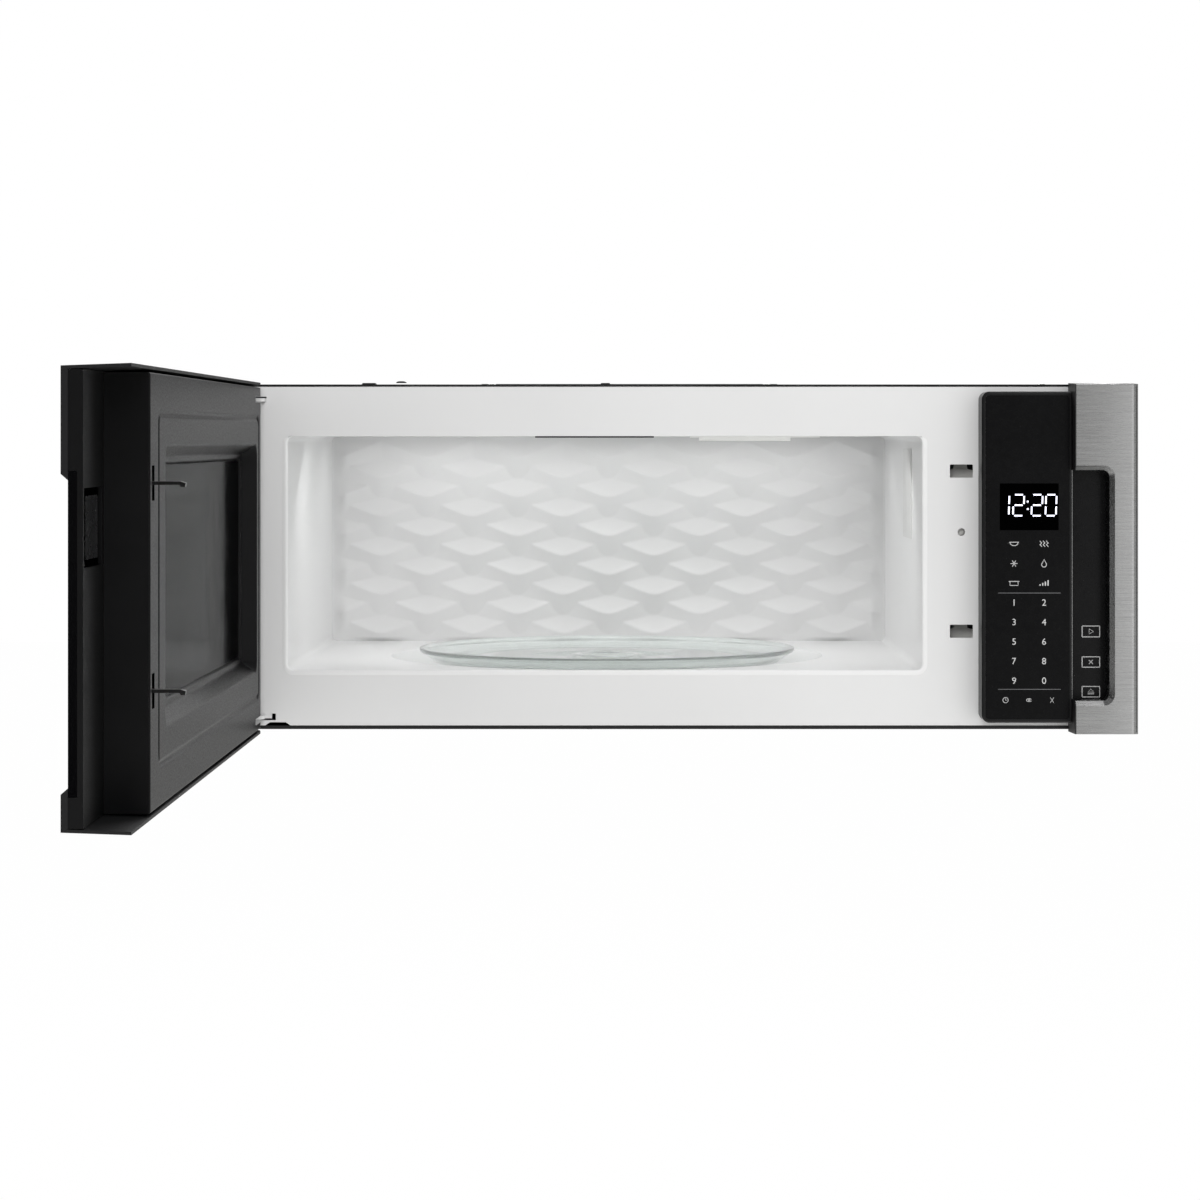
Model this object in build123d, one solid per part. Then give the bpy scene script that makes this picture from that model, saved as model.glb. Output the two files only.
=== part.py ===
from build123d import *
import os
from math import degrees, atan2

# Over the range microwave, low-profile, 30 in wide, side-hinged door, drawn with its door open 90 degrees.
# Millimetres. X to the user's right, Y into the wall, Z up.
# Origin: middle of the face that lies on the wall, at the bottom of the case.

# ---- case -------------------------------------------------------------------------------------------
case_w = 760.0            # over the two stainless columns
case_h = 261.0            # underside of the base pan to the top cover's upper face
case_d = 422.0            # wall to the front of the enamelled face frame
sheet = 1.0               # pressed steel of case, base and back
wall_plate_t = 1.6
top_flange = 14.0         # the top cover's flanges inside the sides
wall_gap = 0.4            # back plate to wall plate
seat_gap = 0.2            # pieces of one body that only rest on each other
frame_t = 1.2             # enamelled face frame
frame_inset = 2.8         # case edge seen round the face frame
left_column_w = 57.5
right_column_w = 47.5
panel_w = 67.2            # control panel
front_y = -case_d
left_x = -case_w / 2
right_x = case_w / 2
side_x = right_x - sheet              # outside of the case, just inside the columns' edges
inner_x = side_x - sheet
roof_z = case_h - sheet
frame_back_y = front_y + frame_t
back_plate_y = -wall_plate_t - wall_gap - sheet

# ---- cavity -----------------------------------------------------------------------------------------
left_bay = 121.1          # case edge to cavity: blower side
right_bay = 157.5         # cavity to case edge: control side
floor_space = 44.2        # under the cavity floor: filters, air path and turntable motor
roof_space = 39.1         # over the cavity: lamp and exhaust duct
cavity_depth = 366.0
cavity_wall = 1.0
cavity_corner = 5.0       # radius of the box's four long corners
mouth_corner = 2.0        # the same corners in the face frame
cavity_x0 = left_x + left_bay
cavity_x1 = right_x - right_bay
cavity_z0 = floor_space
cavity_z1 = case_h - roof_space
cavity_back_y = front_y + cavity_depth

# embossed scales of the cavity's back: a ramp that comes out as it goes down, with a rounded V lower edge
scale_pitch_x = 79.0
scale_pitch_z = 33.9
scale_w = 77.0
scale_h = 17.5
scale_out = 5.0           # how far the lower tip stands out
scale_tip_r = 9.0
scale_top_gap = 18.1      # ceiling to the lower tips of the top row
scale_columns = 5         # in a row of the first kind; the rows between hold one more
scale_rows = 5            # of each kind
embed = 0.2               # how far a fused boss goes into its sheet

# ---- turntable --------------------------------------------------------------------------------------
table_back = 183.0        # middle of the tray behind the frame's face
well_r = 175.0            # round well pressed into the cavity floor
well_d = 16.2
well_draft = 7.0          # plan width of the well's sloped side
well_fit = 0.05           # the well's bottom in its wall
tray_r = 152.4            # 12 in glass tray
tray_h = 12.0
tray_t = 4.0
tray_rim_w = 9.0
roller_r = 5.2
roller_w = 6.0
roller_at = 108.0         # radius of the circle that the rollers run on
roller_clear = 0.3        # roller to floor and roller to tray
ring_w = 8.0
ring_t = 2.6
axle_r = 1.25
axle_clear = 0.05
axle_head_r = 2.2
spindle_r = 4.0
spindle_clear = 0.06
spindle_hole_r = 6.5
coupler_hub_r = 8.5
coupler_r = 17.0
coupler_h = 5.4
coupler_arm_w = 11.0
lug_h = 2.4               # lugs in the recess under the tray's middle
lug_w = 6.0
hub_recess_r = 27.0
motor_r = 24.0
motor_h = 17.0
table_x = (cavity_x0 + cavity_x1) / 2
table_y = front_y + table_back
well_z = cavity_z0 - well_d
well_foot_r = well_r - well_draft
roller_z = well_z + roller_r + roller_clear
tray_z = roller_z + roller_r + roller_clear
coupler_z1 = tray_z + lug_h - seat_gap
roller_turns = (90, 210, 330)

# ---- front dress ------------------------------------------------------------------------------------
column_r = 5.0
column_wall = 1.2
panel_gap = 0.7           # control panel to right column
panel_edge_z = 6.8        # control panel above the case's bottom
panel_top_gap = 5.7
panel_out = 24.5          # in front of the face frame
panel_r = 6.0
panel_bevel = 1.3
panel_bevel_d = 1.3
panel_lip = 1.5           # housing round the touch face
panel_wall = 2.2
panel_glass_t = 1.5
panel_glass_fit = 0.15
display_w = 44.7
display_h = 35.7
display_off_x = 13.1      # from the panel's door-side edge
display_top_gap = 74.3    # case top to display top
display_t = 6.0
column_x0 = right_x - right_column_w
left_column_x1 = left_x + left_column_w
panel_x1 = column_x0 - panel_gap
panel_x0 = panel_x1 - panel_w
panel_z0 = panel_edge_z
panel_z1 = case_h - panel_top_gap
display_x0 = panel_x0 + display_off_x
display_x1 = display_x0 + display_w
display_z1 = case_h - display_top_gap
display_z0 = display_z1 - display_h

# ---- latches and push rod ---------------------------------------------------------------------------
latch_w = 17.4            # slots in the face frame
latch_h = 10.0
latch_panel_gap = 4.2     # slots to the control panel
latch_low_z = 69.1
latch_top_gap = 70.6      # case top to the upper slot's bottom
hook_w = 6.0
hook_t = 2.0
hook_reach = 19.4         # hooks beyond the door's inner face
hook_side = 2.5           # hook to the slot's side
hook_over = 2.4           # hook over the slot's bottom
hook_nose = 1.2
hook_slot_h = 20.5
hook_slot_clear = 2.0
slider_t = 5.0
slider_tail = 14.0
slider_head = 12.0
slider_clear = 0.3
spring_r = 2.4
push_r = 2.4              # push rod that starts the door open
push_hole_r = 2.8
push_len = 30.0
push_recess = 5.2
push_bore_clear = 0.05
push_collar_r = 4.0
push_drop = 111.8         # case top to the rod
latch_x0 = panel_x0 - latch_panel_gap - latch_w
latch_high_z = case_h - latch_top_gap
hook_x0 = latch_x0 + hook_side
hook_low_z = latch_low_z + hook_over
hook_high_z = latch_high_z + hook_over
push_x = latch_x0 + latch_w / 2
push_z = case_h - push_drop

# ---- hinges -----------------------------------------------------------------------------------------
hinge_off = 85.0          # pins from the case's left edge
hinge_out = 18.5          # pins in front of the face frame
hinge_pin_r = 3.0
hinge_pin_clear = 0.05
hinge_arm_w = 11.0
hinge_arm_t = 2.5
hinge_low_z = 8.0         # underside of the lower arm
hinge_top_gap = 13.0      # case top to the underside of the upper arm
hinge_slot_off = 15.5     # from the pins to where the arms come through the face frame
hinge_slot_w = 10.0
hinge_slot_more = 7.0     # the lower slot's extra room, to the right
hinge_slot_h = 5.0
hinge_flange_h = 28.0
bracket_t = 2.0
hinge_pocket_r = 35.0     # room for the arms inside the door
hinge_clear = 1.2
pin_reach = 3.2           # pin beyond each arm
hinge_x = left_x + hinge_off
hinge_y = front_y - hinge_out
hinge_high_z = case_h - hinge_top_gap
hinge_slot_x = hinge_x + hinge_slot_off

# ---- door, written closed ---------------------------------------------------------------------------
door_t = 39.5
door_gap = 0.5            # door to face frame when closed
door_column_gap = 1.5     # free edge to the right column
door_z0 = -0.3            # at the front face
door_top_gap = 0.4        # case top to the door's front face
door_flare = 1.4          # top and bottom flanges open outwards towards the case
skin_t = 4.0              # hemmed stainless front
flange_t = 1.8
skin_corner = 6.0
glass_t = 5.2
glass_border = 5.0        # glass behind the skin, past the opening's edge
glass_edge = 0.4          # glass short of the skin's free edge
overlap_t = 12.5          # thickness of the part of the door that covers the control panel
body_panel_gap = 4.6      # full-depth door body to the control panel
body_z0 = 1.9
body_top_gap = 2.7
body_wall = 2.0
panel_t = 1.0             # stamped inner panel
window_off = 10.0         # glass opening from the pins
window_z0 = 24.4
window_top_gap = 64.5
window_bevel = 3.5
window_r = 5.0
groove_off = 8.3          # stamped outline round the seal face
groove_end = 31.3
groove_z0 = 24.0
groove_top_gap = 23.0
groove_w = 3.0
groove_d = 0.5
groove_r = 10.0
recess_off = 22.5         # stepped window recess
recess_end = 61.0
recess_z0 = 45.8
recess_top_gap = 44.8
recess_r = 10.0
recess_d = 11.0
recess_draft = 4.5
recess_band = 6.2
step_r = 6.0
step_d = 2.5
step_draft = 1.0
step_band = 7.0
screen_t = 0.6
window_pane_t = 1.2
slot_end = 4.0            # display slot from the free edge
slot_margin = 4.0         # slot past the display, up and down
slot_w = 61.0
door_x1 = column_x0 - door_column_gap
door_z1 = case_h - door_top_gap
body_x1 = panel_x0 - body_panel_gap
body_z1 = case_h - body_top_gap
window_x0 = hinge_x + window_off
window_z1 = case_h - window_top_gap
groove_x0 = hinge_x + groove_off
groove_x1 = body_x1 - groove_end
groove_z1 = case_h - groove_top_gap
recess_x0 = hinge_x + recess_off
recess_x1 = body_x1 - recess_end
recess_z1 = case_h - recess_top_gap
slot_x1 = door_x1 - slot_end
slot_x0 = slot_x1 - slot_w
slot_z0 = display_z0 - slot_margin
slot_z1 = display_z1 + slot_margin + 1.3
door_front_y = front_y - door_gap - door_t
door_back_y = front_y - door_gap
skin_back_y = door_front_y + skin_t
glass_back_y = skin_back_y + glass_t
overlap_back_y = door_front_y + overlap_t
hinge_swing_clear = 0.3   # rounded hinge edge to the face frame's plane
hinge_round_r = door_back_y - hinge_y - hinge_swing_clear
door_x0 = hinge_x - hinge_round_r

# ---- pull pocket ------------------------------------------------------------------------------------
pocket_w = 26.1           # notch in the right column
pocket_depth = 24.0       # floor of the pull pocket behind the column's face
pocket_wall = 1.6
pocket_floor_t = 2.0
pocket_x1 = column_x0 + pocket_w

# ---- ventilation ------------------------------------------------------------------------------------
outlet_w = 254.0          # 10 in by 3 1/4 in exhaust
outlet_d = 82.6
outlet_y1 = -14.0
collar_h = 6.0
collar_wall = 1.0
collar_fit = 0.2
collar_flange = 9.0
collar_skirt = 8.0
damper_t = 0.8
damper_clear = 1.2
damper_pin_r = 1.4
damper_pin_in = 5.0       # damper pin from the outlet's rear edge
damper_over = 2.0         # damper above the case top
blower_off = 62.0         # blower axis from the case's left edge
blower_z = 62.0
blower_back = 207.0       # middle of the blower behind the frame's face
wheel_r = 44.0
wheel_len = 92.0
wheel_hub_r = 9.0
wheel_side = 4.0          # wheel to its scroll's side
rim_t = 2.0               # the wheels' rims and hub disc
blade_t = 1.2
blade_depth = 9.0
blade_sweep = 5.0
blade_count = 14
blower_motor_r = 40.0
blower_motor_len = 74.0
scroll_wall = 1.2
scroll_clear = 4.0
scroll_shift = 4.0        # the spiral drawn as a round set off from the wheel's axis
scroll_mouth = 62.0
inlet_r = 30.0
filter_w = 240.0
filter_d = 118.0
filter_t = 8.0
filter_frame = 9.0
filter_ledge = 5.0        # what the pan's edge holds of it
filter_rest = 0.3
filter_back = 137.0       # middle of the filters behind the frame's face
filter_off = 160.0        # centre of each filter from the middle of the case
pan_flange = 12.0
lamp_w = 110.0            # cooktop lamp
lamp_d = 40.0
lamp_back = 37.0
fan_off = 62.0            # cooling fan axis from the case's right edge
fan_z = 125.0
fan_half = 54.0
fan_r = 46.0
fan_y = -38.0
fan_shaft_r = 2.5
blower_x = left_x + blower_off
blower_y = front_y + blower_back
scroll_top = cavity_z1 + 0.1
damper_y = outlet_y1 - damper_pin_in
damper_z = case_h + damper_over
filter_y = front_y + filter_back
lamp_y = front_y + lamp_back
fan_x = right_x - fan_off

# ---- microwave parts --------------------------------------------------------------------------------
guide_near = 97.0         # waveguide on the right wall, behind the frame's face
guide_len = 165.0
guide_h = 71.0
guide_top_gap = 49.0
guide_out = 22.0
cover_w = 73.0
cover_t = 0.8
antenna_near = 222.0
antenna_r = 7.5
yoke_half = 40.0
yoke_h = 36.0
yoke_len = 62.0
yoke_t = 1.5
fin_count = 4
fin_pitch = 6.0
anode_r = 19.0
filter_box = 30.0         # filter box behind the yoke
transformer_off = 55.0    # from the case's right edge
transformer_back = 257.0  # behind the frame's face
core_w = 76.0
core_d = 56.0
core_h = 66.0
winding_out = 16.0        # winding beyond the core, front and back
capacitor_back = 334.0
capacitor_w = 82.0
capacitor_d = 36.0
capacitor_h = 52.0
lamp_bar_w = 72.3         # lens bar in the ceiling
lamp_bar_d = 14.0
lamp_bar_off = 73.7       # from the tray's middle to the bar
lamp_bar_back = 122.0
lamp_bar_drop = 3.6
vent_w = 91.0             # ceiling vent
vent_d = 24.0
vent_off = -53.8
vent_back = 42.0
vent_slots = 9
guide_y0 = front_y + guide_near
guide_y1 = guide_y0 + guide_len
guide_z1 = case_h - guide_top_gap
guide_z0 = guide_z1 - guide_h
antenna_y = front_y + antenna_near
antenna_z = (guide_z0 + guide_z1) / 2
lamp_bar_x0 = table_x + lamp_bar_off
lamp_bar_x1 = lamp_bar_x0 + lamp_bar_w
lamp_bar_y = front_y + lamp_bar_back
vent_x0 = table_x + vent_off
vent_x1 = vent_x0 + vent_w
vent_y = front_y + vent_back

# ---- top and wall fixings ---------------------------------------------------------------------------
top_bolt_spacing = 609.6  # 24 in between the cabinet bolts
top_bolt_back = 92.0
top_bolt_r = 4.0
wall_hole_spacing = 406.4 # 16 in stud spacing
wall_hole_r = 4.0
wall_hole_z = 200.0
access_half = 9.0         # square access holes of the back plate
wall_plate_drop = 1.0     # wall plate below the case, so that it lands first
wall_plate_margin = 6.0
cord_off = 80.0           # mains outlet bush from the right edge
cord_y = -45.0
cord_hole_r = 11.0
cord_bore_r = 5.0
pad_back = 17.0           # stamped pads of the top, behind the frame's face
pad_h = 1.3
drain_x0 = hinge_slot_x + 2.5   # dip in the face frame's lower edge, near the hinge
drain_w = 22.0
drain_slope = 5.0
drain_h = 2.4
cord_x = right_x - cord_off
pad_y = front_y + pad_back
top_bolt_y = front_y + top_bolt_back

os.makedirs("parts", exist_ok=True)


def block(x0, x1, y0, y1, z0, z1):
    """A box between two corners."""
    middle = Pos((x0 + x1) / 2, (y0 + y1) / 2, (z0 + z1) / 2)
    return middle * Box(x1 - x0, y1 - y0, z1 - z0)


def outline(x0, x1, z0, z1, r=0.0):
    """A rectangle seen from the front, with rounded corners."""
    shape = RectangleRounded(x1 - x0, z1 - z0, r) if r else Rectangle(x1 - x0, z1 - z0)
    return Pos((x0 + x1) / 2, (z0 + z1) / 2) * shape


def plate(shape, y_front, thick, taper=0.0):
    """A front-facing outline made thick towards the user, from its back face."""
    return extrude(Plane.XZ.offset(-y_front - thick) * shape, thick, taper=taper)


def sink(shape, y_front, depth, taper=0.0):
    """A front-facing outline made deep towards the wall, from its front face."""
    return extrude(Plane.XZ.offset(-y_front) * shape, -depth, taper=taper)


def disc(x, y, z0, z1, r):
    """An upright round."""
    return Pos(x, y, (z0 + z1) / 2) * Cylinder(r, z1 - z0)


def rod_x(x0, x1, y, z, r):
    """A round along X."""
    return Pos((x0 + x1) / 2, y, z) * Rot(0, 90, 0) * Cylinder(r, x1 - x0)


def rod_y(x, y0, y1, z, r):
    """A round along Y."""
    return Pos(x, (y0 + y1) / 2, z) * Rot(90, 0, 0) * Cylinder(r, y1 - y0)


def open_door(piece):
    """The closed door's piece, swung 90 degrees open."""
    return Pos(hinge_x, hinge_y, 0) * Rot(0, 0, -90) * Pos(-hinge_x, -hinge_y, 0) * piece


def save(piece, name):
    """One STEP file per node; a group of separate solids stays a group."""
    solids = piece.solids()
    whole = solids[0] if len(solids) == 1 else Compound(children=list(solids))
    whole.label = name
    export_step(whole, "parts/" + name + ".step")
    print(name, len(solids), round(sum(s.volume for s in solids)))


# ---- case -------------------------------------------------------------------------------------------
def case_top():
    """Top cover with flanges inside the case sides, exhaust hole, bolt holes and stamped pads."""
    top = plate(outline(-side_x, side_x, roof_z, case_h), front_y, back_plate_y - front_y)
    flange_y = frame_back_y + seat_gap
    for side in (-1, 1):
        x = side * (inner_x - seat_gap - sheet / 2)
        top += block(x - sheet / 2, x + sheet / 2, flange_y, back_plate_y,
                     roof_z - top_flange, roof_z + embed)
        top -= disc(side * top_bolt_spacing / 2, top_bolt_y, roof_z - 1, case_h + 1, top_bolt_r)
    top -= block(-outlet_w / 2, outlet_w / 2, outlet_y1 - outlet_d, outlet_y1, roof_z - 1, case_h + 1)
    top -= disc(cord_x, cord_y, roof_z - 1, case_h + 1, cord_hole_r)
    for x, w in ((-198.0, 11.0), (-18.0, 8.0)):
        top += Pos(x, pad_y, case_h) * extrude(Rectangle(w, 14.0), pad_h, taper=35)
    return top


def case_side(side):
    """One side panel, from the base pan's bottom to under the top cover."""
    x0, x1 = sorted((side * inner_x, side * side_x))
    return plate(outline(x0, x1, 0, roof_z - seat_gap), front_y, back_plate_y - front_y)


def base_pan():
    """Bottom sheet with a hemmed front, turned-up sides, filter openings and a lamp opening."""
    x1 = inner_x - seat_gap
    channel = outline(-x1, x1, 0, pan_flange) - outline(-x1 + sheet, x1 - sheet, sheet, pan_flange + 1)
    pan_front = frame_back_y + seat_gap
    pan = plate(channel, pan_front, back_plate_y - pan_front)
    pan += block(-x1, x1, front_y, pan_front + sheet, 0, frame_inset - seat_gap)
    half_w = filter_w / 2 - filter_ledge
    half_d = filter_d / 2 - filter_ledge
    for side in (-1, 1):
        x = side * filter_off
        pan -= block(x - half_w, x + half_w, filter_y - half_d, filter_y + half_d, -1, sheet + 1)
    lens = lamp_w / 2 - filter_ledge
    pan -= block(-lens, lens, lamp_y - lamp_d / 2 + filter_ledge, lamp_y + lamp_d / 2 - filter_ledge,
                 -1, sheet + 1)
    return pan


def back_plate():
    """Rear sheet with a stiffening rib and the holes that hang it on the wall plate."""
    sheet_back = plate(outline(-side_x, side_x, 0, case_h), back_plate_y, sheet)
    half = inner_x - 76.0
    rib = outline(-half, half, 30, 44, 6.5) - outline(-half + 4, half - 4, 34, 40, 2.9)
    sheet_back += plate(rib, back_plate_y - 1.5, 1.5)
    for side in (-1, 1):
        x = side * wall_hole_spacing / 2
        hole = Pos(x, wall_hole_z) * Rectangle(2 * access_half, 2 * access_half)
        sheet_back -= plate(hole, back_plate_y - 1, sheet + 2)
    return sheet_back


def wall_mounting_plate():
    """Plate screwed to the studs: two stud holes, two hooks under the back plate's edge."""
    half = inner_x - wall_plate_margin
    base = outline(-half, half, -wall_plate_drop, case_h - wall_plate_margin, 3.0)
    piece = plate(base, -wall_plate_t, wall_plate_t)
    for side in (-1, 1):
        hole = Pos(side * wall_hole_spacing / 2, wall_hole_z) * Circle(wall_hole_r)
        piece -= plate(hole, -wall_plate_t - 1, wall_plate_t + 2)
    return piece


def face_frame():
    """Enamelled front with the cavity's mouth, latch slots, push rod hole and hinge slots."""
    x1 = inner_x - seat_gap
    shape = outline(-x1, x1, frame_inset, case_h - frame_inset + 1.0)
    shape -= outline(cavity_x0, cavity_x1, cavity_z0, cavity_z1, mouth_corner)
    for z in (latch_low_z, latch_high_z):
        shape -= outline(latch_x0, latch_x0 + latch_w, z, z + latch_h, 0.8)
    shape -= Pos(push_x, push_z) * Circle(push_hole_r)
    for z, more in ((hinge_low_z, hinge_slot_more), (hinge_high_z, 0)):
        middle = z + hinge_arm_t / 2
        shape -= outline(hinge_slot_x - hinge_slot_w / 2, hinge_slot_x + hinge_slot_w / 2 + more,
                         middle - hinge_slot_h / 2, middle + hinge_slot_h / 2)
    foot = Polyline((drain_x0, frame_inset - 1), (drain_x0 + drain_slope, frame_inset + drain_h),
                    (drain_x0 + drain_w - drain_slope, frame_inset + drain_h),
                    (drain_x0 + drain_w, frame_inset - 1), close=True)
    shape -= make_face(foot)
    return plate(shape, front_y, frame_t)


# ---- cavity -----------------------------------------------------------------------------------------
def cavity_section():
    """The cavity's section with its wall, seen from the front."""
    t = cavity_wall
    outside = outline(cavity_x0 - t, cavity_x1 + t, cavity_z0 - t, cavity_z1 + t, cavity_corner + t)
    return outside - outline(cavity_x0, cavity_x1, cavity_z0, cavity_z1, cavity_corner)


def cavity_shell():
    """Enamelled sides and ceiling in one bent sheet, with the lamp, vent and waveguide openings."""
    t = cavity_wall
    bend = cavity_section() & outline(cavity_x0 - 2 * t, cavity_x1 + 2 * t, cavity_z0 + cavity_corner, case_h)
    box = plate(bend, frame_back_y, cavity_back_y - frame_back_y)
    box -= block(cavity_x1 - t, cavity_x1 + 2 * t, guide_y0 + 4, guide_y0 + cover_w - 11,
                 guide_z0 + 6, guide_z1 - 6)
    box -= block(lamp_bar_x0, lamp_bar_x1, lamp_bar_y - lamp_bar_d / 2 - 1, lamp_bar_y + lamp_bar_d / 2 + 1,
                 cavity_z1 - t, cavity_z1 + 2 * t)
    return box - block(vent_x0 + 4, vent_x1 - 4, vent_y - vent_d / 2 + 3, vent_y + vent_d / 2 - 3,
                       cavity_z1 - t, cavity_z1 + 2 * t)


def cavity_floor():
    """Enamelled floor, bent up at its sides, with the sloped wall of the turntable's round well."""
    t = cavity_wall
    bend = cavity_section() & outline(cavity_x0 - 2 * t, cavity_x1 + 2 * t, 0, cavity_z0 + cavity_corner)
    floor = plate(bend, frame_back_y, cavity_back_y - frame_back_y)
    floor -= disc(table_x, table_y, cavity_z0 - 2 * t, cavity_z0 + t, well_r + t / 2)
    slope = make_face(Polyline((well_foot_r, well_z - t), (well_foot_r + t, well_z - t),
                               (well_r + t, cavity_z0 - t), (well_r + t, cavity_z0), (well_r, cavity_z0),
                               (well_foot_r, well_z), close=True))
    return floor + Pos(table_x, table_y, 0) * revolve(Plane.XZ * slope, Axis.Z)


def turntable_well():
    """Round bottom of the well, welded into the floor, with the spindle's hole."""
    z0 = well_z - cavity_wall
    floor = disc(table_x, table_y, z0, well_z, well_foot_r - well_fit)
    return floor - disc(table_x, table_y, z0 - 1, well_z + 1, spindle_hole_r)


def back_scale():
    """One scale with its lower tip at the origin: a rounded V cut by a ramp."""
    corner = Polyline((-scale_w / 2, scale_h), (0, 0), (scale_w / 2, scale_h), close=True)
    vee = make_face(corner)
    tip = vee.vertices().sort_by(Axis.Y)[0]
    vee = fillet(tip, scale_tip_r)
    drop = vee.bounding_box().min.Y
    vee = Pos(0, -drop) * vee
    body = plate(vee, -scale_out, scale_out + embed)
    ramp = make_face(Polyline((embed, -1), (-scale_out, -1), (-scale_out, 0), (0, scale_h),
                              (embed, scale_h + 1), close=True))
    return body & extrude(Plane.YZ * ramp, scale_w, both=True)


def cavity_back():
    """Pressed back wall: staggered rows of scales that stand out towards their lower tips."""
    wall = plate(outline(cavity_x0 - 1, cavity_x1 + 1, cavity_z0 - 1, cavity_z1 + 1, cavity_corner),
                 cavity_back_y, cavity_wall)
    one = back_scale()
    scales = []
    for row in range(2 * scale_rows):
        shifted = row % 2
        count = scale_columns + shifted
        z = cavity_z1 - scale_top_gap - row * scale_pitch_z / 2
        for col in range(count):
            x = table_x + (col - (count - 1) / 2) * scale_pitch_x
            scales.append(Pos(x, cavity_back_y, z) * one)
    return wall.fuse(*scales)


def waveguide():
    """Sheet duct on the cavity's right wall, from the magnetron's antenna to the cover."""
    x0 = cavity_x1 + cavity_wall
    duct = block(x0, x0 + guide_out, guide_y0, guide_y1, guide_z0, guide_z1)
    duct -= block(x0 - 1, x0 + guide_out - sheet, guide_y0 + sheet, guide_y1 - sheet,
                  guide_z0 + sheet, guide_z1 - sheet)
    duct -= rod_x(x0, x0 + 2 * guide_out, antenna_y, antenna_z, antenna_r + 1.5)
    return duct


def waveguide_cover():
    """Mica sheet over the waveguide's mouth, inside the cavity."""
    return block(cavity_x1 - cover_t, cavity_x1, guide_y0, guide_y0 + cover_w, guide_z0, guide_z1)


def magnetron():
    """Magnetron with antenna, stacked cooling fins inside a bent yoke, and the filter box below."""
    x0 = cavity_x1 + cavity_wall + guide_out
    x1 = x0 + yoke_len
    y, z = antenna_y, antenna_z
    yoke = outline(-yoke_half, yoke_half, x0, x1) - outline(-yoke_half + yoke_t, yoke_half - yoke_t,
                                                          x0 + yoke_t, x1 - yoke_t)
    turned = Plane(origin=(0, y, z - yoke_h), x_dir=(0, -1, 0), z_dir=(0, 0, 1))
    piece = extrude(turned * yoke, 2 * yoke_h)
    piece += rod_x(x0 - 12, x0 + 1, y, z, antenna_r)
    piece += rod_x(x0 + 1, x1 - 1, y, z, anode_r)
    for fin in range(fin_count):
        x = x0 + 16 + fin * fin_pitch
        piece += block(x, x + 1.0, y - yoke_half + 1, y + yoke_half - 1, z - yoke_h + 6, z + yoke_h - 6)
    return piece + block(x1 - 1, x1 + filter_box, y - yoke_half + 6, y + yoke_half - 6,
                         z - yoke_h + 6, z + yoke_h - 6)


def hv_transformer():
    """Laminated core with its windings and mounting feet."""
    x, y = right_x - transformer_off, front_y + transformer_back
    half_w, half_d = core_w / 2, core_d / 2
    core = block(x - half_w, x + half_w, y - half_d, y + half_d, sheet, sheet + core_h)
    coil = RectangleRounded(core_w - 20, core_h - 22, 10)
    winding = Pos(x, y, sheet + core_h / 2) * Rot(90, 0, 0) * extrude(coil, half_d + winding_out, both=True)
    feet = block(x - half_w - 8, x + half_w + 8, y - half_d + 2, y + half_d - 2, sheet, sheet + 1.6)
    return core + winding + feet


def hv_capacitor():
    """Oval can with two terminals, standing on the base."""
    x, y = right_x - fan_off, front_y + capacitor_back
    can = Pos(x, y, sheet) * extrude(SlotOverall(capacitor_w, capacitor_d), capacitor_h)
    for side in (-12, 12):
        can += Pos(x + side, y, sheet + capacitor_h) * extrude(Rectangle(6.3, 0.8), 9.0)
    return can


def cooling_fan_frame():
    """Square fan frame with its motor on three arms, standing on the base."""
    x, z = fan_x, fan_z
    frame = outline(x - fan_half, x + fan_half, sheet, z + fan_half, 4.0)
    ring = plate(frame - Pos(x, z) * Circle(fan_r + 2.5), fan_y - 12, 24)
    for turn in (90, 210, 330):
        arm = Pos(x, z) * Rot(0, 0, turn) * Pos((fan_r + 4) / 2, 0) * Rectangle(fan_r + 4, 7)
        ring += plate(arm, fan_y + 8, 4)
    motor = rod_y(x, fan_y + 8, fan_y + 26, z, 21.0)
    return ring + motor - rod_y(x, fan_y - 20, fan_y + 20, z, fan_shaft_r + spindle_clear)


def cooling_fan_wheel():
    """Five-bladed axial wheel on its shaft."""
    x, z = fan_x, fan_z
    wheel = rod_y(x, fan_y - 9, fan_y + 6, z, 13.0) + rod_y(x, fan_y, fan_y + 19, z, fan_shaft_r)
    for turn in range(5):
        spoke = Pos(x, fan_y, z) * Rot(0, turn * 72, 0) * blade_of_fan()
        wheel += spoke
    return wheel


def blade_of_fan():
    """One pitched blade that widens outwards."""
    inner = Plane(origin=(11.0, 0, 0), x_dir=(0, 1, 0), z_dir=(1, 0, 0))
    outer = Plane(origin=(fan_r, 0, 0), x_dir=(0, 1, 0), z_dir=(1, 0, 0))
    root = inner * Rot(0, 0, 38) * Rectangle(1.6, 16)
    tip = outer * Rot(0, 0, 56) * Rectangle(1.6, 17)
    return loft([root.faces()[0], tip.faces()[0]], ruled=True)


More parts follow.
